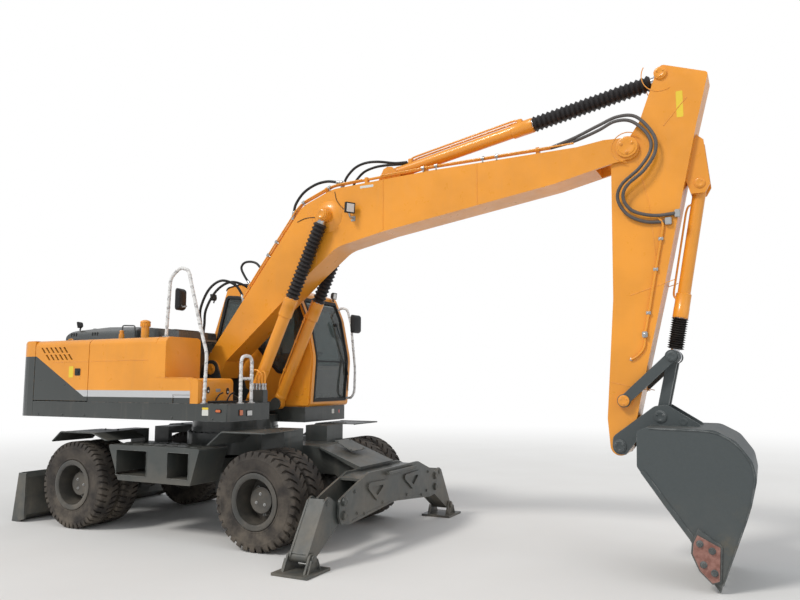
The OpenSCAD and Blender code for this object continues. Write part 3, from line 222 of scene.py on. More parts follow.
def make_effects():
    # Rubbed edges: where the rounded normal leaves the true one, broken up by noise
    net, given, out = new_effect("edge wear", {"Width": 0.006, "Breaks": 18.0}, ["Mask"])
    bevel = net.node("Bevel", samples=4)
    net.feed(bevel.inputs["Radius"], given["Width"])
    dot = net.node("VectorMath", operation="DOT_PRODUCT")
    net.feed(dot.inputs[0], bevel.outputs[0])
    net.feed(dot.inputs[1], net.node("NewGeometry").outputs["Normal"])
    edge = net.ramp(dot.outputs["Value"], 0.995, 0.90)
    broken = net.ramp(net.noise(net.place(), given["Breaks"], 5.0, 0.65), 0.42, 0.62)
    net.feed(out["Mask"], net.times(edge, broken))

    # Dust: thick near the ground and on faces that look up, in patches
    net, given, out = new_effect("road dust", {"Top": 1.3, "Patches": 2.5}, ["Mask"])
    place = net.place()
    low = net.ramp(net.xyz(place)[2], given["Top"], 0.0)
    up = net.ramp(net.xyz(net.node("NewGeometry").outputs["Normal"])[2], 0.3, 1.0, 0.0, 0.75)
    amount = net.calc("MAXIMUM", low, up)
    patches = net.ramp(net.noise(place, given["Patches"], 6.0, 0.62), 0.30, 0.72)
    net.feed(out["Mask"], net.times(amount, patches))

    # Sprayed coat: slow tone changes, fine peel for bump and gloss
    net, given, out = new_effect("sprayed coat", {"Tone Scale": 1.6, "Peel Scale": 210.0},
                                 ["Tone", "Peel", "Gloss"])
    place = net.place()
    slow = net.noise(place, given["Tone Scale"], 4.0, 0.5)
    net.feed(out["Tone"], net.ramp(slow, 0.3, 0.7))
    net.feed(out["Peel"], net.noise(place, given["Peel Scale"], 2.0, 0.5))
    net.feed(out["Gloss"], net.ramp(net.noise(place, 9.0, 5.0, 0.6), 0.3, 0.7))

    # Rain runs: noise drawn out down the side
    net, given, out = new_effect("rain runs", {"Spacing": 11.0}, ["Mask"])
    drawn = net.stretched(net.place(), 1.0, 1.0, 0.09)
    net.feed(out["Mask"], net.ramp(net.noise(drawn, given["Spacing"], 4.0, 0.6), 0.52, 0.78))

    # Side colours: charcoal wedge and base, silver line above it, in the plane of the side panels
    wedge_start, wedge_fall, wedge_top, base_top, line_top = -3.951, -0.557, 2.113, 1.604, 1.684
    net, given, out = new_effect("side bands", {"Band End": BAND_END}, ["Charcoal", "Silver"])
    x, _, z = net.xyz(net.place())
    wedge_z = net.calc("MULTIPLY_ADD", net.calc("ADD", x, -wedge_start), wedge_fall, wedge_top)
    below = net.calc("LESS_THAN", z, net.calc("MINIMUM", wedge_z, wedge_top))
    short = net.calc("LESS_THAN", x, given["Band End"])
    base = net.calc("LESS_THAN", z, base_top)
    charcoal = net.times(short, net.calc("MAXIMUM", below, base))
    stripe = net.times(short, net.calc("LESS_THAN", z, line_top))
    net.feed(out["Charcoal"], charcoal)
    net.feed(out["Silver"], net.times(stripe, net.calc("SUBTRACT", 1.0, charcoal)))

    # Cloth: fine crossed threads
    net, given, out = new_effect("seat cloth", {"Threads": 700.0}, ["Threads", "Tone"])
    place = net.place()
    xs, ys, zs = net.xyz(place)
    rows = net.calc("SINE", net.times(net.calc("ADD", xs, zs), given["Threads"]))
    columns = net.calc("SINE", net.times(ys, given["Threads"]))
    net.feed(out["Threads"], net.times(rows, columns))
    net.feed(out["Tone"], net.noise(place, 60.0, 4.0, 0.6))


def new_material(name, rough=0.5, metal=0.0, **fixed):
    """A material with one Principled shader; fixed values sit on the shader's own sockets."""
    material = bpy.data.materials.new(name)
    material.use_nodes = True
    net = Net(material.node_tree, material.node_tree.nodes["Principled BSDF"])
    for key, value in {"Roughness": rough, "Metallic": metal, **fixed}.items():
        net.feed(net.shader.inputs[key.replace("_", " ")], value)
    return material, net


def shaded(colour, share):
    return tuple(c*share for c in colour)


DUST = (0.30, 0.25, 0.19)
YELLOW = (0.86, 0.335, 0.028)
CHARCOAL = (0.043, 0.048, 0.045)
LINE_SILVER = (0.52, 0.53, 0.54)


def paint(name, colour, rough=0.33, dust=0.35, worn=(0.30, 0.28, 0.26), wear=0.5, runs=0.12, bands=False):
    """Sprayed enamel with tone drift, rain runs, dust from the ground up and rubbed edges."""
    material, net = new_material(name, Coat_Roughness=0.12, Specular_IOR_Level=0.45)
    coat = net.effect("sprayed coat", Tone_Scale=1.6, Peel_Scale=210.0)
    base = net.mix(coat["Tone"], shaded(colour, 0.86), colour)
    if bands:
        mark = net.effect("side bands", Band_End=BAND_END)
        base = net.mix(mark["Charcoal"], base, CHARCOAL)
        base = net.mix(mark["Silver"], base, LINE_SILVER)
    base = net.over(base, net.effect("rain runs", Spacing=11.0)["Mask"], runs, DUST)
    film = net.effect("road dust", Top=1.3, Patches=2.5)
    film_share = net.times(film["Mask"], dust)
    base = net.mix(film_share, base, DUST)
    base = net.over(base, net.effect("edge wear", Width=0.006, Breaks=18.0)["Mask"], wear, worn)
    gloss = net.calc("MULTIPLY_ADD", coat["Gloss"], 0.12, rough - 0.06)
    dull = net.calc("MULTIPLY_ADD", film_share, 0.5, gloss, clamp=True)
    net.dress(base, dull, (coat["Peel"], 0.10, 0.0006))
    net.feed(net.shader.inputs["Coat Weight"], net.calc("MULTIPLY_ADD", film_share, -0.5, 0.35, clamp=True))
    return material


def steel(name, colour, rough=0.35, grain=(90, 90, 6), dirt=0.15):
    """Bare or plated metal with fine drawn lines."""
    material, net = new_material(name, rough, 1.0)
    lines = net.noise(net.stretched(net.place(), *grain), 8.0, 3.0, 0.6)
    spots = net.ramp(net.noise(net.place(), 14.0, 5.0, 0.6), 0.45, 0.75)
    base = net.over(net.mix(lines, shaded(colour, 0.82), colour), spots, dirt, (0.16, 0.12, 0.08))
    net.dress(base, net.calc("MULTIPLY_ADD", lines, 0.18, rough - 0.06), (lines, 0.12, 0.0004))
    return material


def rubber(name, colour, rough=0.72, dust=0.3, dust_top=1.2, bump=0.25):
    """Moulded rubber, dusty towards the ground."""
    material, net = new_material(name, rough, Specular_IOR_Level=0.35)
    fine = net.noise(net.place(), 140.0, 4.0, 0.6)
    slow = net.noise(net.place(), 5.0, 4.0, 0.55)
    film = net.effect("road dust", Top=dust_top, Patches=5.0)
    base = net.mix(net.ramp(slow, 0.3, 0.7), shaded(colour, 0.75), colour)
    dull = net.calc("MULTIPLY_ADD", fine, 0.2, rough - 0.1, clamp=True)
    net.dress(net.over(base, film["Mask"], dust, DUST), dull, (fine, bump, 0.0008))
    return material


def wrapped_white():
    """Pale film wound round the handrails, with thin dark gaps between its turns."""
    material, net = new_material("rail_film", 0.38)
    place = net.place()
    climb = net.times(net.xyz(place)[2], 58.0)
    wound = net.calc("SINE", net.calc("MULTIPLY_ADD", net.noise(place, 26.0, 3.0, 0.6), 9.0, climb))
    creases = net.noise(place, 75.0, 5.0, 0.65)
    base = net.over((0.72, 0.71, 0.69), net.ramp(wound, 0.72, 0.98), 0.62, (0.20, 0.19, 0.19))
    net.dress(base, net.calc("MULTIPLY_ADD", creases, 0.4, 0.22), (creases, 0.5, 0.004))
    return material


def tinted_glass():
    """Tinted window glass, clear enough to show the seat, with the finest film of dirt."""
    material, net = new_material("window_tint", 0.04, IOR=1.45, Transmission_Weight=0.80)
    film = net.ramp(net.noise(net.place(), 7.0, 5.0, 0.6), 0.35, 0.8)
    base = net.over((0.19, 0.225, 0.22), film, 0.25, (0.42, 0.44, 0.42))
    net.dress(base, net.calc("MULTIPLY_ADD", film, 0.06, 0.02))
    return material


def lens(name, colour):
    """Ribbed lamp lens."""
    material, net = new_material(name, 0.16, Coat_Weight=0.6)
    ribs = net.calc("SINE", net.times(net.xyz(net.place())[1], 900.0))
    net.dress(net.mix(net.ramp(ribs, -1.0, 1.0), shaded(colour, 0.8), colour), None, (ribs, 0.3, 0.001))
    return material


def seat_cloth():
    """Dark woven cloth."""
    material, net = new_material("seat_cloth", 0.85, Sheen_Weight=0.25)
    cloth = net.effect("seat cloth", Threads=700.0)
    base = net.mix(cloth["Tone"], (0.022, 0.023, 0.026), (0.055, 0.055, 0.06))
    net.dress(base, None, (cloth["Threads"], 0.25, 0.0006))
    return material


def worn_steel():
    """Charcoal paint on the bucket, scraped to grey and rust towards its lower half."""
    material, net = new_material("bucket_paint", 0.5)
    place = net.place()
    low = net.ramp(net.xyz(place)[2], 1.0, 0.15)
    marks = net.ramp(net.noise(place, 3.2, 7.0, 0.68), 0.52, 0.70)
    fine = net.noise(place, 45.0, 5.0, 0.65)
    rub = net.effect("edge wear", Width=0.010, Breaks=9.0)
    film = net.effect("road dust", Top=0.9, Patches=3.0)
    base = net.mix(fine, (0.046, 0.056, 0.058), (0.066, 0.078, 0.080))
    base = net.over(base, net.times(low, marks), 0.65, (0.115, 0.098, 0.066))
    base = net.over(base, film["Mask"], 0.22, DUST)
    base = net.over(base, rub["Mask"], 0.8, (0.22, 0.23, 0.23))
    net.dress(base, net.calc("MULTIPLY_ADD", fine, 0.3, 0.35), (fine, 0.25, 0.001))
    return material


def rusty():
    """Rust on the bucket's side cutters."""
    material, net = new_material("rusty_cutter", 0.7)
    place = net.place()
    patches = net.ramp(net.noise(place, 16.0, 6.0, 0.65), 0.35, 0.65)
    base = net.mix(patches, (0.20, 0.085, 0.065), (0.31, 0.155, 0.125))
    rub = net.effect("edge wear", Width=0.008, Breaks=20.0)
    base = net.over(base, rub["Mask"], 0.6, (0.40, 0.31, 0.27))
    net.dress(base, None, (net.noise(place, 120.0, 4.0, 0.6), 0.35, 0.001))
    return material


make_camera()
make_effects()

YELLOW_PAINT = paint("yellow_enamel", YELLOW, wear=0.25, dust=0.10, runs=0.05, worn=(0.95, 0.55, 0.22))
SIDE_PAINT = paint("banded_enamel", YELLOW, wear=0.25, dust=0.08, runs=0.05, worn=(0.90, 0.52, 0.2),
                   bands=True)
DARK_PAINT = paint("charcoal_enamel", CHARCOAL, rough=0.36, dust=0.22, wear=0.55, worn=(0.20, 0.21, 0.21))
HOOD_PAINT = paint("hood_enamel", (0.085, 0.092, 0.092), rough=0.28, dust=0.25, wear=0.35,
                   worn=(0.24, 0.25, 0.25))
CHASSIS_PAINT = paint("chassis_enamel", (0.052, 0.059, 0.056), rough=0.45, dust=0.42, wear=0.6,
                      worn=(0.23, 0.24, 0.23))
RIM_PAINT = paint("rim_enamel", (0.046, 0.046, 0.042), rough=0.5, dust=0.45, wear=0.5,
                  worn=(0.22, 0.21, 0.20))
AXLE_PAINT = paint("axle_enamel", (0.030, 0.031, 0.030), rough=0.55, dust=0.35, wear=0.3,
                   worn=(0.12, 0.12, 0.12))
TYRE_RUBBER = rubber("tyre_rubber", (0.036, 0.031, 0.028), dust=0.36, dust_top=1.5)
FOLD_RUBBER = rubber("fold_rubber", (0.024, 0.021, 0.021), rough=0.42, dust=0.10, dust_top=0.5)
HOSE_RUBBER = rubber("hose_rubber", (0.020, 0.020, 0.020), rough=0.45, dust=0.06, dust_top=0.5)
GREY_HOSE = rubber("grey_hose", (0.115, 0.105, 0.100), rough=0.5, dust=0.05, dust_top=0.5)
SEAL_RUBBER = rubber("seal_rubber", (0.016, 0.016, 0.016), rough=0.5, dust=0.08, dust_top=0.5)
BLACK_PLASTIC = rubber("black_plastic", (0.020, 0.020, 0.021), rough=0.42, dust=0.10, dust_top=0.6, bump=0.12)
CHROME = steel("rod_chrome", (0.62, 0.62, 0.63), rough=0.16, dirt=0.05)
SILVER = steel("zinc_plate", (0.55, 0.55, 0.54), rough=0.36, grain=(40, 40, 40), dirt=0.10)
MIRROR = steel("mirror_glass", (0.80, 0.82, 0.84), rough=0.07, grain=(4, 4, 4), dirt=0.0)
FILM = wrapped_white()
GLASS = tinted_glass()
CLOTH = seat_cloth()
BUCKET_PAINT = worn_steel()
RUST = rusty()
ORANGE_LENS = lens("orange_lens", (0.72, 0.16, 0.03))
RED_LENS = lens("red_lens", (0.55, 0.03, 0.025))
WHITE_LENS = lens("white_lens", (0.72, 0.72, 0.70))
BLANK_YELLOW = paint("blank_yellow", (0.86, 0.62, 0.03), rough=0.4, wear=0.1, dust=0.05, runs=0.02)
BLANK_WHITE = paint("blank_white", (0.72, 0.72, 0.66), rough=0.4, wear=0.1, dust=0.05, runs=0.05)

# Every solid of the frame takes its finish here
FINISHES = (
    (CHASSIS_PAINT, "chassis mudguards step_boxes blade blade_arms blade_links blade_ram_barrels"),
    (CHASSIS_PAINT, "outrigger_beam leg_l leg_r foot_l foot_r"),
    (AXLE_PAINT, "rigid_axle steer_axle driveline knuckle_l knuckle_r track_rod engine"),
    (RIM_PAINT, "wheels_steer_l wheels_steer_r wheels_rigid_l wheels_rigid_r"),
    (TYRE_RUBBER, "tyres_steer_l tyres_steer_r tyres_rigid_l tyres_rigid_r"),
    (DARK_PAINT, "platform"),
    (SIDE_PAINT, "counterweight tank_cover toolbox pump_door radiator_door"),
    (HOOD_PAINT, "top_deck hood"),
    (YELLOW_PAINT, "stacks cab cab_door boom boom_pipes arm"),
    (YELLOW_PAINT, "boom_ram_barrels arm_ram_barrel bucket_ram_barrel"),
    (GLASS, "cab_glass cab_door_glass"),
    (BLACK_PLASTIC, "seat"),
    (FILM, "handrails"),
    (CHROME, "blade_ram_rods boom_ram_rods arm_ram_rod bucket_ram_rod"),
    (FOLD_RUBBER, "boom_ram_bellows arm_ram_bellows bucket_ram_bellows"),
    (BUCKET_PAINT, "guide_links bucket_link bucket"),
)
for finish, names in FINISHES:
    for node_name in names.split():
        for spot in frame["nodes"][node_name].material_slots:
            spot.material = finish
# The rails' second colour is that of their fittings
for spot in list(frame["nodes"]["handrails"].material_slots)[1:]:
    spot.material = BLACK_PLASTIC


# Shapes

def smooth_route(points, steps=8):
    """A smooth line through the given points."""
    padded = [2*points[0] - points[1], *points, 2*points[-1] - points[-2]]
    line = []
    for a, b, c, d in zip(padded, padded[1:], padded[2:], padded[3:]):
        for t in (i/steps for i in range(steps)):
            line.append(0.5*(2*b + (c - a)*t + (2*a - 5*b + 4*c - d)*t*t + (3*b - a - 3*c + d)*t**3))
    return line + [points[-1]]


def side_axes(direction):
    """Two unit vectors square to a direction."""
    direction = direction.normalized()
    helper = PIN_Z if abs(direction.z) < 0.9 else PIN_X
    u = direction.cross(helper).normalized()
    return u, direction.cross(u)


def upright(way):
    """A vector of the side view turned back by a quarter."""
    return Vector((-way.z, 0, way.x))


def spoke(degrees):
    """The way at an angle round an axis that lies across the machine."""
    a = math.radians(degrees)
    return PIN_X*math.cos(a) + PIN_Z*math.sin(a)


def around(degrees):
    """The way at an angle round an upright axis."""
    a = math.radians(degrees)
    return PIN_X*math.cos(a) + PIN_Y*math.sin(a)


def arc_points(centre, r, start, step, count):
    """Points on a circle of the side view, from an angle in degrees on, step by step."""
    turns = [math.radians(start + step*i) for i in range(count)]
    return [(centre[0] + r*math.cos(a), centre[1] + r*math.sin(a)) for a in turns]


def as_mesh(bm, name="held"):
    """The mesh of a finished BMesh, which is freed."""
    mesh = bpy.data.meshes.new(name)
    bm.to_mesh(mesh)
    bm.free()
    return mesh


class Form:
    """A mesh put together from rounded blocks, plates, turned shapes, pipes and bolts."""

    def __init__(self):
        self.bm = bmesh.new()

    def absorb(self, mesh):
        """Adds a mesh that is then no longer needed."""
        self.bm.from_mesh(mesh)
        bpy.data.meshes.remove(mesh)
        return self

    def take(self, bm, bevel=0.0):
        bmesh.ops.recalc_face_normals(bm, faces=bm.faces)
        if bevel:
            edges = [e for e in bm.edges if len(e.link_faces) == 2 and e.calc_face_angle(0) > 0.5]
            bmesh.ops.bevel(bm, geom=edges, offset=bevel, segments=2, affect="EDGES", clamp_overlap=True)
        return self.absorb(as_mesh(bm))

    def copy(self, mesh, matrix):
        """Another mesh, moved by a matrix."""
        held = mesh.copy()
        held.transform(matrix)
        return self.absorb(held)

    def rings(self, rings, closed=False, caps=True, bevel=0.0):
        """A skin over rings of points, each with the same count."""
        bm = bmesh.new()
        made = [[bm.verts.new(p) for p in ring] for ring in rings]
        pairs = list(zip(made, made[1:])) + ([(made[-1], made[0])] if closed else [])
        for one, two in pairs:
            for i in range(len(one)):
                j = (i + 1) % len(one)
                bm.faces.new((one[i], one[j], two[j], two[i]))
        if caps and not closed:
            bm.faces.new(made[0])
            bm.faces.new(made[-1])
        return self.take(bm, bevel)

    def block(self, low, high, bevel=0.003):
        (a, b, c), (d, e, f) = low, high
        ring = [(a, b), (d, b), (d, e), (a, e)]
        return self.rings([[(x, y, z) for x, y in ring] for z in (c, f)], bevel=bevel)

    def plate(self, outline, way, bevel=0.002):
        """An outline of points in space, given thickness by the vector way."""
        outline = [Vector(p) for p in outline]
        return self.rings([outline, [p + Vector(way) for p in outline]], bevel=bevel)

    def turned(self, foot, axis, profile, steps=32, caps=True):
        """A turned shape: profile gives (distance along the axis, radius)."""
        axis = Vector(axis).normalized()
        u, v = side_axes(axis)
        circle = [(math.cos(2*math.pi*i/steps), math.sin(2*math.pi*i/steps)) for i in range(steps)]
        rings = [[Vector(foot) + axis*s + (u*c + v*k)*r for c, k in circle] for s, r in profile]
        return self.rings(rings, caps=caps)

    def disc(self, foot, axis, r, height, steps=24):
        return self.turned(foot, axis, [(0, r), (height, r)], steps)

    def pipe(self, line, r, sides=12, caps=True):
        """A round bar along a line of points."""
        line = [Vector(p) for p in line]
        u, _ = side_axes(line[1] - line[0])
        circle = [(math.cos(2*math.pi*k/sides), math.sin(2*math.pi*k/sides)) for k in range(sides)]
        rings = []
        for i, p in enumerate(line):
            ahead = line[min(i + 1, len(line) - 1)] - line[max(i - 1, 0)]
            u = (u - ahead*(u.dot(ahead)/ahead.length_squared)).normalized()
            v = ahead.normalized().cross(u)
            rings.append([p + (u*c + v*s)*r for c, s in circle])
        return self.rings(rings, caps=caps)

    def bolt(self, foot, axis, r=0.012, washer=1.5):
        """A washer and a hexagon head."""
        self.turned(foot, axis, [(-0.002, r*washer), (r*0.28, r*washer), (r*0.34, r*washer*0.94)], 20)
        return self.turned(foot, axis, [(r*0.2, r), (r*0.95, r), (r*1.15, r*0.86)], 6)

    def done(self, name, body, slot, material, smooth=38):
        mesh = as_mesh(self.bm, name)
        for face in mesh.polygons:
            face.use_smooth = True
        mesh.set_sharp_from_angle(angle=math.radians(smooth))
        mesh.materials.append(material)
        made = bpy.data.objects.new(name, mesh)
        bpy.context.scene.collection.objects.link(made)
        if body:
            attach(made, body)
        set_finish(made, slot)
        return made


def arc_outline(corners, steps=5):
    """A closed flat outline from a table of corners: x, z, radius."""
    points = [Vector(c[:2]) for c in corners]
    line = []
    turns = zip([points[-1], *points], points, [*points[1:], points[0]], corners)
    for before, corner, after, (_, _, radius) in turns:
        u, v = (before - corner).normalized(), (after - corner).normalized()
        half = u.angle(v)/2
        centre = corner + (u + v).normalized()*(radius/math.sin(half))
        start = corner + u*(radius/math.tan(half)) - centre
        side = 1 if u.x*v.y - u.y*v.x < 0 else -1
        sweep = side*(math.pi - 2*half)
        line += [centre + Matrix.Rotation(sweep*i/steps, 2) @ start for i in range(steps + 1)]
    return line


def rounded(x0, x1, y0, y1, radius):
    """A flat rectangle's outline with rounded corners."""
    return arc_outline([(x0, y0, radius), (x1, y0, radius), (x1, y1, radius), (x0, y1, radius)])


def on_side(outline, y):
    """A side view's outline as points in space."""
    return [at(p.x, y, p.y) for p in outline]


def side_rectangle(x0, x1, z0, z1, y, radius=0.008):
    return on_side(rounded(x0, x1, z0, z1, radius), y)


def front_rectangle(x, y0, y1, z0, z1, radius=0.006):
    return [at(x, p.x, p.y) for p in rounded(y0, y1, z0, z1, radius)]


def grown(outline, by):
    """The same closed outline moved outwards (or inwards, below zero), point by point."""
    turn = sum(a.x*b.y - b.x*a.y for a, b in zip(outline, [*outline[1:], outline[0]]))
    side = 1 if turn > 0 else -1
    moved = []
    for before, here, after in zip([outline[-1], *outline], outline, [*outline[1:], outline[0]]):
        way = (after - before).normalized()
        moved.append(here + Vector((way.y, -way.x))*by*side)
    return moved


def hose(name, points, r, material, body=None, joint=None):
    """A free hose through the given points; joint names two bodies and a span, but only whether it is given
    is read: the hose is then baked in place on no body.
    """
    line = smooth_route(points)
    made = Form().pipe(line, r, 14).done(name, body, "bellows", material, 60)
    if joint:
        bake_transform(made)


def fitting(form, end, before, r, long):
    """A crimped ferrule and nut over a hose's end, pointing away from the point before it."""
    way = end - before
    steps = [(0, 1.32), (long*0.55, 1.32), (long*0.58, 1.12), (long*0.7, 1.12), (long*0.72, 1.5), (long, 1.5)]
    profile = [(-0.01, r*1.1), *((along, r*wide) for along, wide in steps), (long*1.02, r*1.3)]
    form.turned(end - way.normalized()*0.03, way, profile, 12)


# Wheels

TYRE_W, AXLE_Z = 0.278, 0.525
INNER_TYRE, OUTER_TYRE, HUB_FACE = 0.791, 1.111, 1.12
# Axle name: place along the machine, lugs round each shoulder, how far the lugs lean
AXLES = {"steer": (-1.5, 44, 0.55), "rigid": (1.3, 34, 0.9)}
# Half a tyre's section from the bead to the middle of the tread: radius, distance from the outer face
WALL = [(0.262, 0.030), (0.262, 0.021), (0.303, 0.021), (0.308, 0.009), (0.322, 0.0065), (0.328, 0.009),
        (0.350, 0.004), (0.385, 0.0008), (0.420, 0.0), (0.440, 0.0012), (0.444, 0.0), (0.450, 0.0025),
        (0.462, 0.004)]
LUG = [(0.480, 0.005), (0.503, 0.008), (0.516, 0.014), (0.5225, 0.023), (0.5245, 0.040), (0.525, 0.075),
       (0.525, 0.108), (0.525, 0.112), (0.525, 0.139)]
GROOVE = [(0.470, 0.010), (0.484, 0.019), (0.494, 0.029), (0.500, 0.038), (0.503, 0.052), (0.504, 0.080),
          (0.504, 0.108), (0.525, 0.112), (0.525, 0.139)]


def tyre_mesh(lugs, lean):
    """One tyre about the Y axis, its middle at the origin; each lug stands between two leaning grooves."""
    pitch = 2*math.pi/lugs
    columns = [(0.0, LUG), (0.03, GROOVE), (0.30, GROOVE), (0.33, LUG), (0.66, LUG)]
    rings = []
    for lug in range(lugs):
        for share, tread in columns:
            half = [(r, y, lean*max(0.0, y - 0.02)/0.12) for r, y in WALL + tread]
            ring = []
            for r, y, turn in half:
                angle = (lug + share + turn)*pitch
                ring.append((r*math.cos(angle), TYRE_W/2 - y, r*math.sin(angle)))
            for r, y, turn in reversed(half):
                angle = (lug + share + turn + 0.5)*pitch
                ring.append((r*math.cos(angle), y - TYRE_W/2, r*math.sin(angle)))
            rings.append(ring)
    return as_mesh(Form().rings(rings, closed=True).bm, "tyre")


def make_tyres():
    for axle, (x, lugs, lean) in AXLES.items():
        mesh = tyre_mesh(lugs, lean)
        for side, word, letter in SIDES:
            form = Form()
            for y, turn in ((INNER_TYRE, 0.4), (OUTER_TYRE, 0.0)):
                spin = Matrix.Rotation(turn, 4, "Y") @ Matrix.Rotation(math.pi*(side < 0), 4, "Z")
                form.copy(mesh, Matrix.Translation(at(x, side*y, AXLE_Z)) @ spin)
            made = form.done(f"tread_{axle}_{letter}", f"wheels_{axle}_{word}", "rubber", TYRE_RUBBER, 32)
            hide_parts(f"tyres_{axle}_{letter}")
        bpy.data.meshes.remove(mesh)


# Turned sections of a rim's lock ring and of a hub's cap
LOCK_RING = [(-0.016, 0.246), (-0.002, 0.250), (0.002, 0.262), (0.0, 0.282), (-0.006, 0.2835),
             (-0.006, 0.268), (-0.012, 0.250)]
HUB_CAP = [(-0.03, 0.141), (-0.004, 0.143), (0.004, 0.139), (0.006, 0.130), (0.003, 0.124), (0.003, 0.03),
           (0.006, 0.0)]


def make_hubs():
    """Lock rings, hub caps with three bolts, wheel nuts in the dish and a valve."""
    for axle, (x, _, _) in AXLES.items():
        for side, word, letter in SIDES:
            body, out = f"wheels_{axle}_{word}", PIN_Y*side
            centre = at(x, 0, AXLE_Z)
            rings, bolts = Form(), Form()
            rings.turned(centre + out*1.25, out, LOCK_RING, 72, caps=False)
            rings.turned(centre + out*HUB_FACE, out, HUB_CAP, 48, caps=False)
            for i in range(10):
                bolts.bolt(centre + out*0.979 + spoke(36*i)*0.185, out, 0.016, 1.3)
            for degrees in (98, 205, 318):
                turn = degrees + (35 if axle == "steer" else 0)
                bolts.bolt(centre + out*(HUB_FACE + 0.004) + spoke(turn)*0.066, out, 0.011)
            up = spoke(-48)
            stem = ((0, 0.236), (0, 0.206), (0.02, 0.186), (0.06, 0.176))
            bolts.pipe([centre + out*(1.13 + along) + up*r for along, r in stem], 0.0045, 8)
            rings.done(f"wheel_rings_{axle}_{letter}", body, "charcoal_paint", RIM_PAINT)
            bolts.done(f"wheel_bolts_{axle}_{letter}", body, "charcoal_paint", SILVER)


# Platform

DECK_Z, CAB_FLOOR, SKIRT, SHEET = 1.540, 1.460, 0.195, 0.014
BALLAST_X, NOSE_X, BAY_X, CAB_BACK = -2.320, 0.900, 0.300, -0.800
BAY_Y, PAN_Y = -0.477, 0.270
# Pins of the boom's foot and of its rams' feet: x, z
BOOM_FOOT, RAM_FOOT = (-0.150, 1.945), (0.540, 1.500)
# The boom rams stand this far to each side of it
RAM_SIDE = 0.285


def carved(solid, *cutters):
    """The solid form with the room of the cutting forms taken out of it."""
    held = []
    for form in (solid, *cutters):
        held.append(bpy.data.objects.new("held", as_mesh(form.bm)))
        bpy.context.scene.collection.objects.link(held[-1])
    for tool in held[1:]:
        cut = held[0].modifiers.new("cut", "BOOLEAN")
        cut.operation, cut.solver, cut.object = "DIFFERENCE", "EXACT", tool
    ready = held[0].evaluated_get(bpy.context.evaluated_depsgraph_get())
    form = Form().absorb(bpy.data.meshes.new_from_object(ready))
    for piece in held:
        bpy.data.objects.remove(piece)
    return form


def deck_plan(d):
    """Plan of the main deck, its edges d inside; the boom's bay and the cab's corner are cut out."""
    return [(BALLAST_X + d, d - SIDE_Y), (NOSE_X - d, d - SIDE_Y), (NOSE_X - d, BAY_Y - d),
            (BAY_X - d, BAY_Y - d), (BAY_X - d, PAN_Y - d), (CAB_BACK - d, PAN_Y - d),
            (CAB_BACK - d, SIDE_Y - d), (BALLAST_X + d, SIDE_Y - d)]


def cab_plan(d):
    return [(CAB_BACK + d, PAN_Y + d), (NOSE_X - d, PAN_Y + d), (NOSE_X - d, SIDE_Y - d),
            (CAB_BACK + d, SIDE_Y - d)]


def make_platform():
    """Deck and lower cab floor as sheet pans, with the frame, the boom's foot plates and the pins."""
    form = Form()
    for plan, top in ((deck_plan, DECK_Z), (cab_plan, CAB_FLOOR)):
        under = top - SKIRT
        sheet = Form().plate([at(x, y, under) for x, y in plan(0)], (0, 0, SKIRT), 0.004)
        room = Form().plate([at(x, y, under - 0.001) for x, y in plan(SHEET)], (0, 0, SKIRT - SHEET), 0)
        form.absorb(as_mesh(carved(sheet, room).bm))
    for y in (BOOM_Y - 0.234, BOOM_Y + 0.214):
        form.block(at(-1.900, y, 1.350), at(0.286, y + 0.020, 1.526))
    form.block(at(0.240, BOOM_Y - 0.222, 1.400), at(0.290, BOOM_Y + 0.222, 1.526), 0.004)
    form.disc(at(0, 0, 1.2183), PIN_Z, 0.54, 0.147, 96)
    form.disc(at(0, 0, 1.118), PIN_Z, 0.30, 0.110, 96)
    ear = [(-0.520, 1.450), (-0.470, 1.600), (-0.280, 2.000), *arc_points(BOOM_FOOT, 0.115, 120, -15, 7),
           (0.060, 1.700), (0.428, 1.530), *arc_points(RAM_FOOT, 0.078, 160, -20, 13), (0.300, 1.400)]
    for s in (-1, 1):
        form.plate([at(x, BOOM_Y + s*0.222 - 0.012, z) for x, z in ear], (0, 0.024, 0), 0.003)
        form.disc(at(RAM_FOOT[0], BOOM_Y + s*RAM_SIDE - 0.060, RAM_FOOT[1]), PIN_Y, 0.036, 0.114)
        form.disc(at(BALLAST_X + 0.025, s*1.226, 1.530), PIN_Z, 0.006, 0.070, 12)
    form.disc(at(BOOM_FOOT[0], BOOM_Y - 0.240, BOOM_FOOT[1]), PIN_Y, 0.045, 0.480, 32)
    platform = form.done("deck_pans", "upper", "dark_metal", DARK_PAINT)
    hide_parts("platform")


# Cab

CAB_Y = 0.285
CAB_WALL = 0.050
# Side view of the cab from its back corner along the floor and up the curved windscreen: x, z, radius
CAB_OUT = [(-0.790, 1.4603, 0.03), (0.955, 1.4603, 0.05), (1.000, 2.090, 0.6), (0.885, 2.640, 0.3),
           (0.750, 2.945, 0.06), (0.300, 3.080, 0.3), (-0.200, 3.120, 0.2), (-0.440, 3.080, 0.07),
           (-0.745, 2.200, 0.1)]
RIGHT_WINDOWS = [
    [(-0.640, 2.180, 0.06), (-0.060, 2.150, 0.06), (-0.060, 2.920, 0.06), (-0.440, 2.960, 0.06)],
    [(0.060, 2.300, 0.08), (0.455, 1.905, 0.08), (0.680, 1.905, 0.06), (0.880, 2.270, 0.08),
     (0.835, 2.600, 0.2), (0.745, 2.830, 0.06), (0.060, 2.920, 0.06)],
]
LEFT_WINDOW = [(-0.620, 2.180, 0.06), (0.060, 2.180, 0.06), (0.060, 2.920, 0.06), (-0.440, 2.950, 0.06)]
DOOR = [(0.130, 1.520, 0.001), (0.870, 1.520, 0.04), (0.900, 2.090, 0.3), (0.790, 2.640, 0.2),
        (0.715, 2.830, 0.06), (0.130, 2.930, 0.001)]
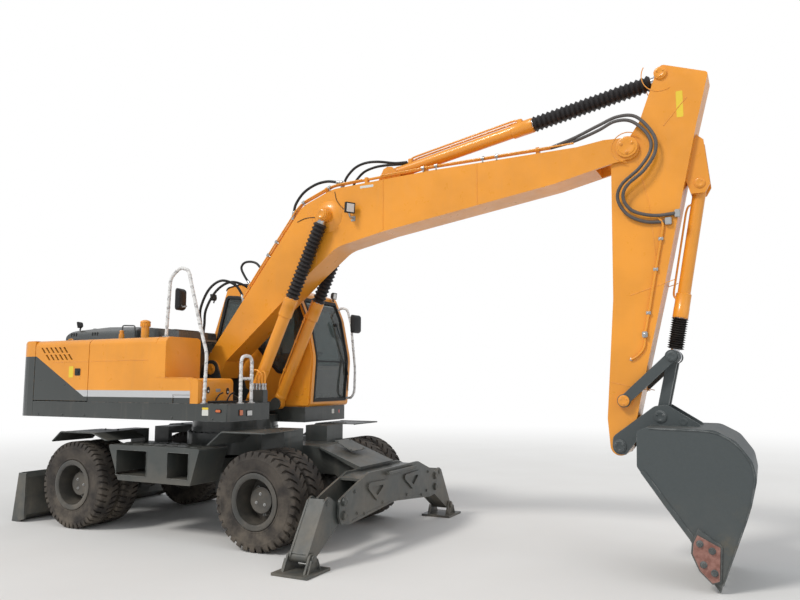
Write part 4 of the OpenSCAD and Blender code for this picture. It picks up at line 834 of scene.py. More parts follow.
DOOR_WINDOW = [(0.200, 2.000, 0.05), (0.825, 2.000, 0.06), (0.825, 2.100, 0.2), (0.720, 2.620, 0.15),
               (0.655, 2.770, 0.05), (0.200, 2.850, 0.06)]
SCREEN_Y, SCREEN_Z = (0.375, 1.150), (1.535, 2.880)
BACK_Y, BACK_Z = (0.395, 1.130), (2.260, 2.880)
# The cab's own middle plane and the upper side of its floor
CAB_MIDDLE, CAB_DECK = (CAB_Y + SIDE_Y)/2, CAB_FLOOR + CAB_WALL + 0.0006


def inset(corners, by):
    """The same table of corners with each side moved inwards."""
    moved = []
    for before, here, after in zip([corners[-1], *corners], corners, [*corners[1:], corners[0]]):
        point = Vector(here[:2])
        into, on = (point - Vector(before[:2])).normalized(), (Vector(after[:2]) - point).normalized()
        one, two = Vector((-into.y, into.x)), Vector((-on.y, on.x))
        spot = point + (one + two)*(by/(1 + one.dot(two)))
        moved.append((spot.x, spot.y, max(0.001, here[2] - by)))
    return moved


def cab_front(z):
    """How far forward the cab's skin is at a height, along its rounded outline."""
    skin = arc_outline(CAB_OUT, 8)
    spans = [(p, q) for p, q in zip(skin, skin[1:]) if min(p.y, q.y) <= z < max(p.y, q.y)]
    return max(p.x + (z - p.y)*(q.x - p.x)/(q.y - p.y) for p, q in spans)


def cab_back(z):
    """How far back the cab's skin is over the rear window."""
    return -0.745 + (z - 2.200)*0.305/0.880


def side_plate(corners, y0, y1, bevel=0.0):
    """A side view's rounded outline as a solid between two distances from the middle."""
    return Form().plate(on_side(arc_outline(corners, 8), y0), (0, y1 - y0, 0), bevel)


def in_cab(x, y, z):
    """A point given from the cab's middle plane and floor."""
    return at(x, CAB_MIDDLE + y, CAB_DECK + z)


def make_cab():
    """The cab's shell with its window and door openings, its glass, and the door."""
    through = (SIDE_Y - CAB_WALL - 0.01, SIDE_Y + 0.01)
    shell = side_plate(CAB_OUT, CAB_Y, SIDE_Y, 0.018)
    cutters = [side_plate(inset(CAB_OUT, CAB_WALL), CAB_Y + CAB_WALL, SIDE_Y - CAB_WALL)]
    cutters += [side_plate(window, CAB_Y - 0.01, CAB_Y + CAB_WALL + 0.01) for window in RIGHT_WINDOWS]
    cutters += [side_plate(LEFT_WINDOW, *through), side_plate(inset(DOOR, -0.011), *through)]
    for x0, x1, (y0, y1), (z0, z1) in ((0.70, 1.70, SCREEN_Y, SCREEN_Z), (-0.90, -0.40, BACK_Y, BACK_Z)):
        cutters.append(Form().block(at(x0, y0, z0), at(x1, y1, z1), 0.0))
    cab = carved(shell, *cutters).done("cab_shell", "upper", "yellow_paint", YELLOW_PAINT, 30)
    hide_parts("cab")

    glass = Form()
    for window in (*RIGHT_WINDOWS, LEFT_WINDOW):
        y = SIDE_Y - 0.016 if window is LEFT_WINDOW else CAB_Y + 0.010
        glass.plate(on_side(arc_outline(window), y), (0, 0.006, 0), 0)
    curved = ((cab_front, SCREEN_Y, SCREEN_Z, -1), (cab_back, BACK_Y, BACK_Z, 1))
    for skin, (y0, y1), (z0, z1), inward in curved:
        section = ((y0, 0.012), (y1, 0.012), (y1, 0.018), (y0, 0.018))
        rows = [z0 + (z1 - z0)*i/30 for i in range(31)]
        glass.rings([[at(skin(z) + inward*deep, y, z) for y, deep in section] for z in rows])
    panes = glass.done("cab_panes", "upper", "window_glass", GLASS, 30)
    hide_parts("cab_glass")

    leaf = carved(side_plate(DOOR, SIDE_Y - CAB_WALL, SIDE_Y), side_plate(DOOR_WINDOW, *through))
    door = leaf.done("door_leaf", "cab_door", "yellow_paint", YELLOW_PAINT, 30)
    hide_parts("cab_door")
    pane = side_plate(DOOR_WINDOW, SIDE_Y - 0.016, SIDE_Y - 0.010)
    pane = pane.done("door_pane", "cab_door", "window_glass", GLASS, 30)
    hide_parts("cab_door_glass")


def window_frame(form, window, side, out=0.012, wide=0.026):
    """A rubber frame round a side window, from wide inside its edge to out beyond it."""
    outline, y, deep = arc_outline(window), SIDE_Y if side > 0 else CAB_Y, 0.008
    inner, outer = grown(outline, -wide), grown(outline, out)
    steps = ((outer, 0.0), (outer, deep*0.7), (grown(outer, -0.006), deep), (grown(inner, 0.004), deep),
             (inner, deep*0.6), (inner, -0.009))
    return form.rings([on_side(ring, y + side*lift) for ring, lift in steps], closed=True)


def make_window_frames():
    seals = Form()
    for window in RIGHT_WINDOWS:
        window_frame(seals, window, -1, 0.016, 0.030)
    window_frame(seals, LEFT_WINDOW, 1)
    # The windscreen's frame follows the front's curve
    rows = [SCREEN_Z[0] - 0.01 + 0.045*i for i in range(31)]
    section = ((-0.012, 0.022), (0.007, 0.020), (0.010, 0.0), (0.004, -0.014), (-0.006, -0.014))
    for y, way in ((SCREEN_Y[0], 1), (SCREEN_Y[1], -1)):
        seals.rings([[at(cab_front(z) + a, y + way*b, z) for a, b in section] for z in rows])
    for z, tall in ((SCREEN_Z[0] + 0.01, 0.022), (2.05, 0.010), (SCREEN_Z[1] - 0.01, 0.022)):
        section = ((-0.014, -tall), (0.008, -tall), (0.008, tall), (-0.014, tall))
        ends = (SCREEN_Y[0] - 0.01, SCREEN_Y[1] + 0.01)
        seals.rings([[at(cab_front(z + b) + a, y, z + b) for a, b in section] for y in ends])
    seals.done("window_seals", "upper", "seat_dark", SEAL_RUBBER)
    window_frame(Form(), DOOR_WINDOW, 1).done("door_window_seal", "cab_door", "seat_dark", SEAL_RUBBER)


def cushion(low, high, edge, crown=0.02):
    """A stuffed block with rounded edges and a crowned top, given from the cab's floor and middle plane."""
    (x0, y0, z0), (x1, y1, z1) = low, high
    rings = []
    for t in (level/8 for level in range(9)):
        less = edge*(1 - math.sin(math.pi*(0.12 + 0.76*t)))
        outline = rounded(x0 + less, x1 - less, y0 + less, y1 - less, edge)
        rings.append([in_cab(p.x, p.y, z0 + (z1 - z0)*t) for p in outline])
    top = rings[-1]
    middle = sum(top, Vector())/len(top)
    for share in (0.85, 0.6, 0.3, 0.05):
        rings.append([middle + (p - middle)*share + PIN_Z*crown*(1 - share*share) for p in top])
    return Form().rings(rings)


def make_seat_base():
    """The seat's foot, bellows and plate, and the two consoles with their sticks."""
    base = Form()
    base.block(in_cab(-0.10, -0.16, 0), in_cab(0.24, 0.16, 0.07), 0.012)
    for i in range(6):
        grow, z = 0.012*(i % 2), 0.07 + 0.036*i
        base.block(in_cab(-0.09 - grow, -0.15 - grow, z), in_cab(0.23 + grow, 0.15 + grow, z + 0.035), 0.010)
    base.block(in_cab(-0.17, -0.22, 0.286), in_cab(0.30, 0.22, 0.325), 0.012)
    console = arc_outline([(-0.14, 0.304, 0.03), (0.41, 0.444, 0.04), (0.41, 0.554, 0.04),
                           (-0.11, 0.584, 0.05)])
    knob = [(0, 0.012), (0.015, 0.021), (0.06, 0.023), (0.085, 0.018), (0.095, 0.004)]
    for y in (-0.305, 0.305):
        base.plate([in_cab(p.x, y - 0.05, p.y) for p in console], (0, 0.10, 0), 0.010)
        stick = in_cab(0.36, y, 0.549)
        base.pipe([stick, stick + Vector((0.005, 0, 0.05)), stick + Vector((0.012, 0, 0.10))], 0.009)
        base.turned(stick + Vector((0.012, 0, 0.09)), (0.1, 0, 1), knob, 16)
        base.turned(stick, PIN_Z, [(-0.005, 0.05), (0.01, 0.045), (0.03, 0.025), (0.05, 0.014)], 20)
        for x in (0.06 + 0.06*i for i in range(4)):
            base.block(in_cab(x, y - 0.02, 0.554), in_cab(x + 0.035, y + 0.02, 0.574), 0.004)
    seat_base = base.done("seat_base", "upper", "seat_dark", BLACK_PLASTIC)
    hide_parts("seat")


def make_steering():
    """Column, wheel with three spokes, and pedals."""
    column = Form()
    foot, head = in_cab(0.704, 0, 0), in_cab(0.619, 0, 0.607)
    column.block(in_cab(0.63, -0.11, 0), in_cab(0.79, 0.11, 0.12), 0.02)
    sleeve = [(0.05, 0.075), (0.12, 0.05), (0.45, 0.044), (0.57, 0.055), (0.60, 0.05)]
    column.turned(foot, head - foot, sleeve, 24)
    hub, lean = in_cab(0.613, 0, 0.625), Vector((-0.208, 0, 0.978))
    column.turned(hub, lean, [(-0.02, 0.035), (0.0, 0.045), (0.012, 0.042), (0.02, 0.02)], 24)

    def outward(degrees):
        a = math.radians(degrees)
        return PIN_Y*math.cos(a) + lean.cross(PIN_Y)*math.sin(a)
    column.pipe([hub + outward(7.5*i)*0.18 for i in range(49)], 0.014, 12, caps=False)
    for way in (outward(90), outward(210), outward(330)):
        column.pipe([hub + way*0.03, hub + way*0.1 - lean*0.006, hub + way*0.172], 0.011, 10)
    for y in (-0.09, 0.09):
        pedal = rounded(0.77, 0.88, y - 0.035, y + 0.035, 0.01)
        column.plate([in_cab(p.x, p.y, 0.05 + (p.x - 0.77)*0.6) for p in pedal], (0.005, 0, -0.014))
    column.block(in_cab(0.72, -0.30, 0.001), in_cab(0.89, 0.30, 0.03), 0.01)
    column.done("steering_column", "upper", "seat_dark", BLACK_PLASTIC)


def make_consoles():
    """Screen, boxes beside and behind the seat, and the dark lining of the walls, the floor and the door."""
    wall = CAB_Y + CAB_WALL
    screen = Form()
    screen.block(at(0.80, 0.44, 2.20), at(0.83, 0.62, 2.33), 0.008)
    screen.pipe([at(0.83, 0.52, 2.23), at(0.87, 0.45, 2.18), at(0.90, 0.345, 2.14)], 0.009)
    screen.block(at(-0.60, 0.36, CAB_DECK + 0.001), at(-0.32, 1.17, CAB_DECK + 0.55), 0.02)
    screen.block(at(0.30, 0.35, CAB_DECK + 0.001), at(0.78, 0.43, CAB_DECK + 0.30), 0.02)
    screen.block(at(-0.72, wall + 0.0005, CAB_DECK), at(0.84, wall + 0.006, 1.880), 0.002)
    screen.block(at(-0.715, wall + 0.01, CAB_DECK), at(-0.695, SIDE_Y - CAB_WALL - 0.01, 2.24), 0.004)
    screen.block(at(-0.69, 0.345, CAB_DECK - 0.0005), at(0.86, 1.18, CAB_DECK + 0.004), 0.001)
    screen.done("cab_consoles", "upper", "seat_dark", BLACK_PLASTIC)
    inner = SIDE_Y - CAB_WALL
    lining = Form().block(at(0.20, inner - 0.012, 1.56), at(0.84, inner - 0.0005, 1.95), 0.004)
    lining.done("door_lining", "cab_door", "seat_dark", BLACK_PLASTIC)


# Sections of the seat's back: share of its height, half width, half thickness
BACK_REST = ((0, 0.17, 0.03), (0.03, 0.21, 0.05), (0.15, 0.235, 0.065), (0.45, 0.24, 0.06),
             (0.62, 0.225, 0.055), (0.68, 0.17, 0.05), (0.72, 0.13, 0.045), (0.84, 0.135, 0.05),
             (0.90, 0.12, 0.04), (0.93, 0.08, 0.02))


def eased(value, power):
    return math.copysign(abs(value)**power, value)


def make_cushions():
    """The seat's cushion and its back with the headrest."""
    pan = cushion((-0.17, -0.245, 0.325), (0.33, 0.245, 0.405), 0.045)
    pan = pan.done("seat_cushion", "upper", "seat_dark", CLOTH, 50)
    turns = [2*math.pi*i/28 for i in range(28)]
    rings = []
    for t, wide, thick in BACK_REST:
        section = [(thick*eased(math.cos(a), 0.7), wide*eased(math.sin(a), 0.55)) for a in turns]
        rings.append([in_cab(-0.215 - 0.08*t + x, y, 0.38 + t*0.65) for x, y in section])
    back = Form().rings(rings).done("seat_back", "upper", "seat_dark", CLOTH, 50)


def make_cab_trim():
    """Pressed panel, roof fixings, rain lip, wiper, the door's handle and hinges, and the roof lamps."""
    yellow, black, silver = Form(), Form(), Form()
    yellow.plate(side_rectangle(0.66, 0.855, 1.61, 1.88, CAB_Y - 0.005, 0.03), (0, 0.01, 0), 0.003)
    for x, z in ((-0.45, 3.070), (0.60, 2.988)):
        for y in (CAB_Y + 0.06, SIDE_Y - 0.06):
            silver.turned(at(x, y, z), PIN_Z, [(-0.02, 0.02), (0.008, 0.02), (0.012, 0.012)], 12)
    # A rain lip along the roof's right edge
    roof = [p for p in arc_outline(CAB_OUT, 8) if p.y > 2.62]
    section = ((0.012, 0.006), (-0.008, 0.006), (-0.008, -0.006), (0.012, -0.006))
    black.rings([[at(p.x, CAB_Y + b, p.y + c) for b, c in section] for p in roof])
    foot, tip = at(cab_front(2.561) + 0.020, 0.973, 2.561), at(cab_front(1.873) + 0.014, 1.144, 1.873)
    black.pipe([foot, (foot + tip)/2 + PIN_X*0.045, tip + PIN_X*0.012], 0.006, 8)
    black.turned(foot - PIN_X*0.03, PIN_X, [(0, 0.022), (0.03, 0.022), (0.04, 0.015)], 16)
    blade = [at(cab_front(z) + 0.012, 1.144 - 0.171*(z - 1.873)/0.688, z) for z in (1.66, 1.80, 1.95, 2.10)]
    black.pipe(blade, 0.006, 8)
    yellow.done("cab_pressing", "upper", "yellow_paint", YELLOW_PAINT)
    black.done("cab_black_trim", "upper", "seat_dark", BLACK_PLASTIC)
    silver.done("cab_fixings", "upper", "rod_chrome", SILVER)
    handle, hinge = Form(), Form()
    grip = at(0.80, SIDE_Y, 1.86)
    handle.plate(side_rectangle(0.75, 0.85, 1.81, 1.91, SIDE_Y, 0.02), (0, 0.008, 0))
    bow = ((-0.03, 0.005), (-0.03, 0.035), (0.04, 0.038), (0.04, 0.005))
    handle.pipe([grip + Vector((x, y, 0)) for x, y in bow], 0.008, 10)
    handle.done("door_handle", "cab_door", "seat_dark", BLACK_PLASTIC)
    for z in (1.66, 2.05, 2.84):
        low, high = z - 0.05, z + 0.05
        hinge.block(at(0.150, SIDE_Y - 0.002, low), at(0.192, SIDE_Y + 0.002, high), 0.001)
        hinge.block(at(0.188, SIDE_Y - 0.002, low), at(0.26, SIDE_Y + 0.008, high), 0.004)
        hinge.disc(at(0.146, SIDE_Y - 0.002, low), PIN_Z, 0.009, 0.1, 14)
        for x in (0.205, 0.242):
            hinge.bolt(at(x, SIDE_Y + 0.008, z), PIN_Y, 0.007)
    hinge.done("door_hinges", "cab_door", "yellow_paint", YELLOW_PAINT)
    for x, y, z in ((-0.78, 0.40, 2.98), (-0.78, 1.12, 2.98), (0.79, 0.40, 2.985), (0.79, 1.10, 2.985)):
        work_lamp("roof_lamp", at(x, y, z), Vector((math.copysign(1, x), 0, -0.15)), "upper", 0.045)


def work_lamp(name, place, way, body, size, bracket=True):
    """A square black lamp with a clear ribbed face."""
    way = way.normalized()
    u, v = side_axes(way)

    def squares(steps):
        corners = [(u*a + v*b)*size for a, b in ((1, 1), (-1, 1), (-1, -1), (1, -1))]
        return [[place + way*depth*size*1.6 + corner*share for corner in corners] for depth, share in steps]
    shell, face = Form(), Form()
    case = ((-0.5, 0.35), (-0.45, 0.6), (0.0, 1.0), (0.35, 1.04), (0.38, 0.9), (0.3, 0.86))
    shell.rings(squares(case), bevel=0.004)
    if bracket:
        shell.pipe([place - PIN_Z*size*1.9, place - PIN_Z*size - way*0.01, place - way*size*0.3], 0.010, 10)
    face.rings(squares(((0.28, 0.86), (0.345, 0.84), (0.36, 0.7))), bevel=0.003)
    number = sum(o.name.startswith(name) for o in bpy.data.objects)//2
    shell.done(f"{name}_{number}", body, "seat_dark", BLACK_PLASTIC)
    face.done(f"{name}_{number}_face", body, "window_glass", WHITE_LENS)


# Rails and mirrors

def bent(line, reach=0.06, steps=6):
    """A route of straight runs with rounded corners."""
    out = [line[0]]
    for before, corner, after in zip(line, line[1:], line[2:]):
        a, b = before - corner, after - corner
        start = corner + a.normalized()*min(reach, a.length*0.45)
        end = corner + b.normalized()*min(reach, b.length*0.45)
        out += [(1 - t)**2*start + 2*t*(1 - t)*corner + t*t*end for t in (i/steps for i in range(steps + 1))]
    return out + [line[-1]]


def denser(line, step):
    """The same line with points at most about a step apart."""
    out = []
    for a, b in zip(line, line[1:]):
        count = max(1, int((b - a).length/step))
        out += [a + (b - a)*i/count for i in range(count)]
    return out + [line[-1]]


def wrapped_pipe(form, line, r):
    """A rail wound with film: its radius swells and thins along its length."""
    line = denser(line, 0.012)
    form.pipe(line, r, 14)
    for i in range(0, len(line) - 2, 4):
        ahead = (line[i + 1] - line[i]).normalized()
        swell = r*(1.07 + 0.05*math.sin(i*1.7) + 0.03*math.sin(i*0.61))
        turn = [(0.0, r*0.99), (0.004, swell), (0.026, swell*1.01), (0.030, r*0.99)]
        form.turned(line[i], ahead, turn, 14, caps=False)


def mirror(name, place, way, wide, tall):
    """A mirror in a black housing that faces along way."""
    way = way.normalized()
    u = way.cross(PIN_Z).normalized()
    outline = rounded(-wide/2, wide/2, -tall/2, tall/2, 0.03)

    def rings(steps):
        return [[place + way*depth + (u*p.x + PIN_Z*p.y)*share for p in outline] for depth, share in steps]
    shell, face = Form(), Form()
    case = ((-0.045, 0.72), (-0.035, 0.88), (-0.01, 0.99), (0.006, 1.0), (0.010, 0.97), (0.004, 0.94))
    shell.rings(rings(case))
    face.rings(rings(((0.003, 0.93), (0.0065, 0.925))))
    shell.done(name, "upper", "seat_dark", BLACK_PLASTIC)
    face.done(name + "_glass", "upper", "rod_chrome", MIRROR)


def make_rails():
    """The film-wound rails, their feet, and the two mirrors on them."""
    tall = [at(*p) for p in (
        (0.527, -1.19, 1.5403), (0.548, -1.19, 2.110), (0.490, -1.19, 2.268), (0.291, -1.19, 2.901),
        (0.217, -1.167, 3.090), (0.037, -1.12, 3.137), (-0.110, -1.12, 3.020), (-0.137, -1.12, 2.550),
        (-0.150, -1.12, 2.315))]
    step = [at(0.86, y, z) for y, z in ((-0.965, 1.5403), (-0.965, 2.08), (-0.773, 2.08), (-0.773, 1.5403))]
    cab = [at(x, 1.18, z) for x, z in ((0.955, 1.561), (1.042, 1.555), (1.095, 1.640), (1.102, 1.960),
                                       (1.035, 2.575), (0.970, 2.795), (0.883, 2.818), (0.810, 2.785))]
    film = Form()
    wrapped_pipe(film, bent(tall, 0.07), 0.019)
    wrapped_pipe(film, bent(step, 0.085), 0.019)
    wrapped_pipe(film, [at(0.86, y, 1.82) for y in (-0.965, -0.87, -0.773)], 0.016)
    wrapped_pipe(film, bent(cab), 0.016)
    rails = film.done("film_rails", "upper", "rail_white", FILM, 50)
    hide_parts("handrails")
    feet = Form()
    for foot in (tall[0], tall[-1], step[0], step[-1]):
        feet.turned(foot, PIN_Z, [(0.0, 0.045), (0.008, 0.045), (0.010, 0.040)], 20)
        for k in (-1, 1):
            feet.bolt(foot + PIN_X*0.031*k + PIN_Z*0.008, PIN_Z, 0.006)
    feet.pipe(bent([at(0.21, -1.18, 2.66), at(0.12, -1.15, 2.66), at(0.045, -1.11, 2.70)], 0.03), 0.010, 10)
    feet.pipe(bent([at(1.048, 1.18, 2.46), at(1.075, 1.20, 2.50), at(1.075, 1.243, 2.56)], 0.03), 0.010, 10)
    feet.done("rail_feet", "upper", "rod_chrome", SILVER)
    mirror("side_mirror", at(0.030, -1.10, 2.757), Vector((-1, -0.15, 0)), 0.17, 0.26)
    mirror("cab_mirror", at(1.065, 1.243, 2.588), Vector((-1, 0.1, 0)), 0.205, 0.255)


# Upper structure

def make_louvres():
    """Dark screens and slanted blades behind the slots of both side doors; the black screen is painted shade,
    standing for the shaded room seen through the slots.
    """
    for side, body, x0 in ((-1, "pump_door", -2.210), (1, "radiator_door", -2.160)):
        screen = Form()
        inner = side*(SIDE_Y - 0.040)
        y0, y1 = side*(SIDE_Y - 0.034), side*(SIDE_Y - 0.008)
        # Painted shade: this thin black sheet stands for the shade seen through the door's slots
        screen.block(at(x0 - 0.03, inner - 0.002, 2.04), at(x0 + 0.66, inner + 0.002, 2.245), 0.001)
        for row in (0, 1):
            for i in range(6):
                x, z = x0 + 0.084*i + 0.092*row, 2.225 - 0.092*row
                lip = ((0.010, y0, 0), (0.016, y1, 0), (0.082, y1, -0.072), (0.076, y0, -0.072))
                screen.plate([at(x + a, y, z + c) for a, y, c in lip], (0.0025, 0, 0.0025), 0)
        screen.done(f"louvre_screen_{body}", body, "seat_dark", BLACK_PLASTIC)


def sticker(name, corners, body, material, way=(0, -1, 0)):
    """A blank plate with rounded corners, laid on a face."""
    return Form().plate(corners, Vector(way)*0.0012, 0).done(name, body, "rail_white", material)


def make_door_trim():
    """Pressed lines and latches of the side doors, lines and seams of the tank's cover and the toolbox."""
    for side, body, end in ((-1, "pump_door", -1.315), (1, "radiator_door", -0.90)):
        press = Form()
        y = side*(SIDE_Y - 0.001)
        line = ((-1.985, 2.030), (-1.97, 2.031), (end - 0.01, 2.036), (end, 2.036))
        press.pipe([at(x, y, z) for x, z in line], 0.0045, 8)
        edge = side_rectangle(-1.565, -1.435, 1.85, 1.965, y, 0.02)
        press.pipe([*edge, edge[0]], 0.004, 8, caps=False)
        press.done(f"pressed_line_{body}", body, "yellow_paint", YELLOW_PAINT)
        lock = Form()
        lock.plate(side_rectangle(-1.552, -1.448, 1.862, 1.953, y, 0.015), (0, side*0.003, 0), 0.001)
        dial = [(0, 0.02), (0.008, 0.02), (0.010, 0.014), (0.007, 0.008), (0.007, 0)]
        lock.turned(at(-1.50, y, 1.905), (0, side, 0), dial, 18)
        lock.done(f"latch_{body}", body, "seat_dark", BLACK_PLASTIC)
    cover = Form()
    for r, line in ((0.0045, [(-1.285, 2.038), (-1.27, 2.038), (-0.32, 2.043), (-0.305, 2.043)]),
                    (0.004, [(-0.17, 1.838), (-0.02, 1.838), (0.40, 1.830)]),
                    (0.004, [(0.375, 1.56), (0.375, 1.74), (0.355, 1.80), (0.30, 1.822)])):
        cover.pipe([at(x, -SIDE_Y + 0.001, z) for x, z in line], r, 8)
    cover.done("pressed_line_cover", "upper", "yellow_paint", YELLOW_PAINT)


def make_stickers():
    """Blank plates, without any text, on the door, the skirts and the toolbox."""
    on_door, on_skirt = (-1.66, -1.58, 1.84, 1.98, -SIDE_Y), (0.548, 0.639, 1.410, 1.475, -SIDE_Y)
    for name, edges, body, material in (
            ("blank_sticker_door", on_door, "pump_door", BLANK_YELLOW),
            ("blank_label_skirt", on_skirt, "upper", BLANK_WHITE),
            ("blank_label_skirt_top", (0.548, 0.639, 1.476, 1.500, -SIDE_Y), "upper", BLANK_YELLOW)):
        sticker(name, side_rectangle(*edges), body, material)
    for name, edges, material in (
            ("blank_label_cab_skirt", (NOSE_X, 0.907, 0.967, 1.354, 1.414), BLANK_WHITE),
            ("red_marker_cab_skirt", (NOSE_X, 1.077, 1.109, 1.355, 1.401), RED_LENS),
            ("blank_plate_toolbox", (0.48, -0.945, -0.865, 1.666, 1.704), SILVER)):
        sticker(name, front_rectangle(*edges), "upper", material, PIN_X)


def make_lamps():
    """Orange and white lamps on the skirt and the toolbox, red ones on the counterweight."""
    lamps, lenses = Form(), Form()
    lamps.plate(side_rectangle(0.742, 0.827, 1.444, 1.484, -SIDE_Y, 0.015), (0, -0.008, 0))
    lenses.plate(side_rectangle(0.750, 0.819, 1.450, 1.478, -SIDE_Y - 0.006, 0.012), (0, -0.006, 0))
    lamps.plate(front_rectangle(0.900, -1.037, -0.969, 1.405, 1.475), (0.008, 0, 0))
    lenses.plate(front_rectangle(0.906, -1.031, -0.975, 1.411, 1.469), (0.006, 0, 0))
    lenses.done("orange_lamps", "upper", "window_glass", ORANGE_LENS)
    white = Form()
    lamps.plate(front_rectangle(0.900, -0.905, -0.805, 1.395, 1.465), (0.008, 0, 0))
    white.plate(front_rectangle(0.906, -0.898, -0.812, 1.402, 1.458), (0.006, 0, 0))
    for y, z in ((-1.076, 1.692), (-0.74, 1.675)):
        turns = [math.pi*i/10 for i in range(20)]
        oval = [at(0.48, y + 0.027*math.cos(a), z + 0.040*math.sin(a)) for a in turns]
        lamps.plate(oval, (0.006, 0, 0))
        white.turned(at(0.486, y, z - 0.012), PIN_X, [(-0.002, 0.013), (0.003, 0.012), (0.005, 0.006)], 14)
    lamps.done("lamp_housings", "upper", "seat_dark", BLACK_PLASTIC)
    white.done("white_lamps", "upper", "window_glass", WHITE_LENS)
    rear, red = Form(), Form()
    # The counterweight's face at the lamps, on its curve
    x = -2.742 + 0.08*(0.85/0.9)**2
    for s in (-1, 1):
        for a, b in ((0.86, 0.98), (0.72, 0.84)):
            y0, y1 = sorted((s*a, s*b))
            rear.block(at(x - 0.022, y0, 1.47), at(x + 0.02, y1, 1.55), 0.006)
            red.block(at(x - 0.030, y0 + 0.008, 1.478), at(x - 0.018, y1 - 0.008, 1.542), 0.004)
    rear.done("rear_lamp_housings", "upper", "seat_dark", BLACK_PLASTIC)
    red.done("rear_lamps", "upper", "window_glass", RED_LENS)


def make_deck_trim():
    """The toolbox's handles, grip strips on the platform's nose and the skirt's bolts."""
    levers = Form()
    for y in (-1.00, -0.80):
        bow = ((0.52, 0, 0), (0.54, 0, 0.05), (0.53, 0.06, 0.10), (0.55, 0.10, 0.12))
        levers.pipe(bent([at(x, y + b, 1.5403 + c) for x, b, c in bow], 0.02), 0.009)
    bar = ((0.50, -1.10, 1.556), (0.60, -1.0, 1.560), (0.70, -0.82, 1.556), (0.84, -0.70, 1.556))
    levers.pipe(bent([at(*p) for p in bar], 0.05), 0.012)
    levers.done("toolbox_handles", "upper", "seat_dark", BLACK_PLASTIC)
    deck, bolts = Form(), Form()
    for x in (0.50 + 0.075*i for i in range(5)):
        deck.block(at(x, -1.22, 1.540), at(x + 0.035, -0.55, 1.5465), 0.002)
    deck.done("deck_grips", "upper", "dark_metal", DARK_PAINT)
    for x in (-2.2, -1.75, -1.35, -0.9, -0.4, 0.1, 0.7):
        for side in (-1, 1):
            bolts.bolt(at(x, side*(SIDE_Y + 0.0002), 1.375), (0, side, 0), 0.009)
    bolts.done("skirt_bolts", "upper", "charcoal_paint", DARK_PAINT)


def make_hood_trim():
    """Vents, rail and caps on the hood and deck."""
    vents, rail = Form(), Form()
    for x0 in (-2.08, -1.68):
        for x in (x0, x0 + 0.045, x0 + 0.09):
            for y in (-0.9, 0.9):
                vents.block(at(x, y - 0.004, 2.385), at(x + 0.02, y + 0.004, 2.43))
    for x in (-1.86 + 0.085*i for i in range(9)):
        vents.block(at(x, -0.45, 2.4965), at(x + 0.04, 0.45, 2.506))
    vents.done("hood_vents", "hood", "seat_dark", BLACK_PLASTIC)
    grip = [at(x, -0.905, z) for x, z in ((-1.12, 2.33), (-1.12, 2.50), (-0.90, 2.49), (-0.90, 2.33))]
    rail.pipe(bent(grip, 0.03), 0.009)
    for s in (-1, 1):
        rail.block(at(-1.95, s*0.62 - 0.05, 2.486), at(-1.90, s*0.62 + 0.05, 2.503), 0.006)
        rail.turned(at(-0.93, s*0.45, 2.40), PIN_X, [(0, 0.02), (0.06, 0.02), (0.065, 0.01)], 16)
    rail.done("hood_grip", "hood", "charcoal_paint", HOOD_PAINT)
    caps = Form()
    lid = [(-0.004, 0.060), (0.006, 0.064), (0.016, 0.060), (0.026, 0.045), (0.034, 0.020), (0.036, 0.0)]
    caps.turned(at(-0.62, -1.0, 2.5105), PIN_Z, lid)
    for i in range(12):
        foot = at(-0.62, -1.0, 2.462) + around(30*i)*0.0585
        caps.block(foot - Vector((0.004, 0.004, 0)), foot + Vector((0.004, 0.004, 0.04)), 0.001)
    lid = [(-0.004, 0.026), (0.006, 0.028), (0.014, 0.024), (0.020, 0.0)]
    caps.turned(at(-0.98, -1.04, 2.408), PIN_Z, lid, 24)
    bow = [at(x, -0.95, z) for x, z in ((-1.98, 2.315), (-1.98, 2.345), (-2.06, 2.345), (-2.06, 2.315))]
    caps.pipe(bent(bow, 0.015), 0.008)
    caps.done("tank_caps", "upper", "yellow_paint", YELLOW_PAINT)
    treads = Form()
    for i in range(4):
        x, z = -0.80 + 0.14*i, 2.446 - 0.008*i
        treads.block(at(x, -0.82, z), at(x + 0.08, -0.40, z + 0.0115))
    treads.done("deck_treads", "upper", "charcoal_paint", HOOD_PAINT)
    work_lamp("hood_lamp", at(-2.0, -0.83, 2.545), Vector((-1, -0.4, -0.2)), "hood", 0.04)


# Working arm

# Its pins in the side view at rest: x, z
BOOM_TIP, ARM_FOOT, RAM_EYE = (5.0737, 4.0980), (4.9049, 1.1709), (1.581, 3.763)
ARM_RAM_FOOT, ARM_RAM_EYE = (2.350, 4.225), (5.411, 4.807)
BUCKET_RAM_FOOT, GUIDE_TOP = (5.718, 3.674), (5.411, 2.022)
GUIDE_FOOT, EAR_PIN = (4.963, 1.603), (5.284, 1.459)
# Half the widths over the side plates of the boom and of the arm
BOOM_HALF, ARM_HALF = 0.190, 0.158


def pin_end(form, place, y, side, r, out=0.012, bolts=0):
    """The end of a pin: collar, keeper plate with bolts, dished face."""
    foot = at(place[0], y, place[1])
    steps = ((0.55, 1.22), (0.7, 1.14), (0.7, 0.98), (1, 0.95), (1.1, 0.8), (0.8, 0.55), (0.8, 0))
    profile = [(-0.01, r*1.22), *((out*along, r*wide) for along, wide in steps)]
    form.turned(foot, (0, side, 0), profile, 40)
    for i in range(bolts):
        spot = foot + spoke(360*(i + 0.25)/bolts)*r*0.72 + PIN_Y*side*out*1.02
        form.bolt(spot, (0, side, 0), r*0.13)


def weld(form, points, y, r=0.005):
    """A fine bead of weld along a seam of a side plate."""
    form.pipe(denser([at(x, y, z) for x, z in points], 0.02), r, 6)


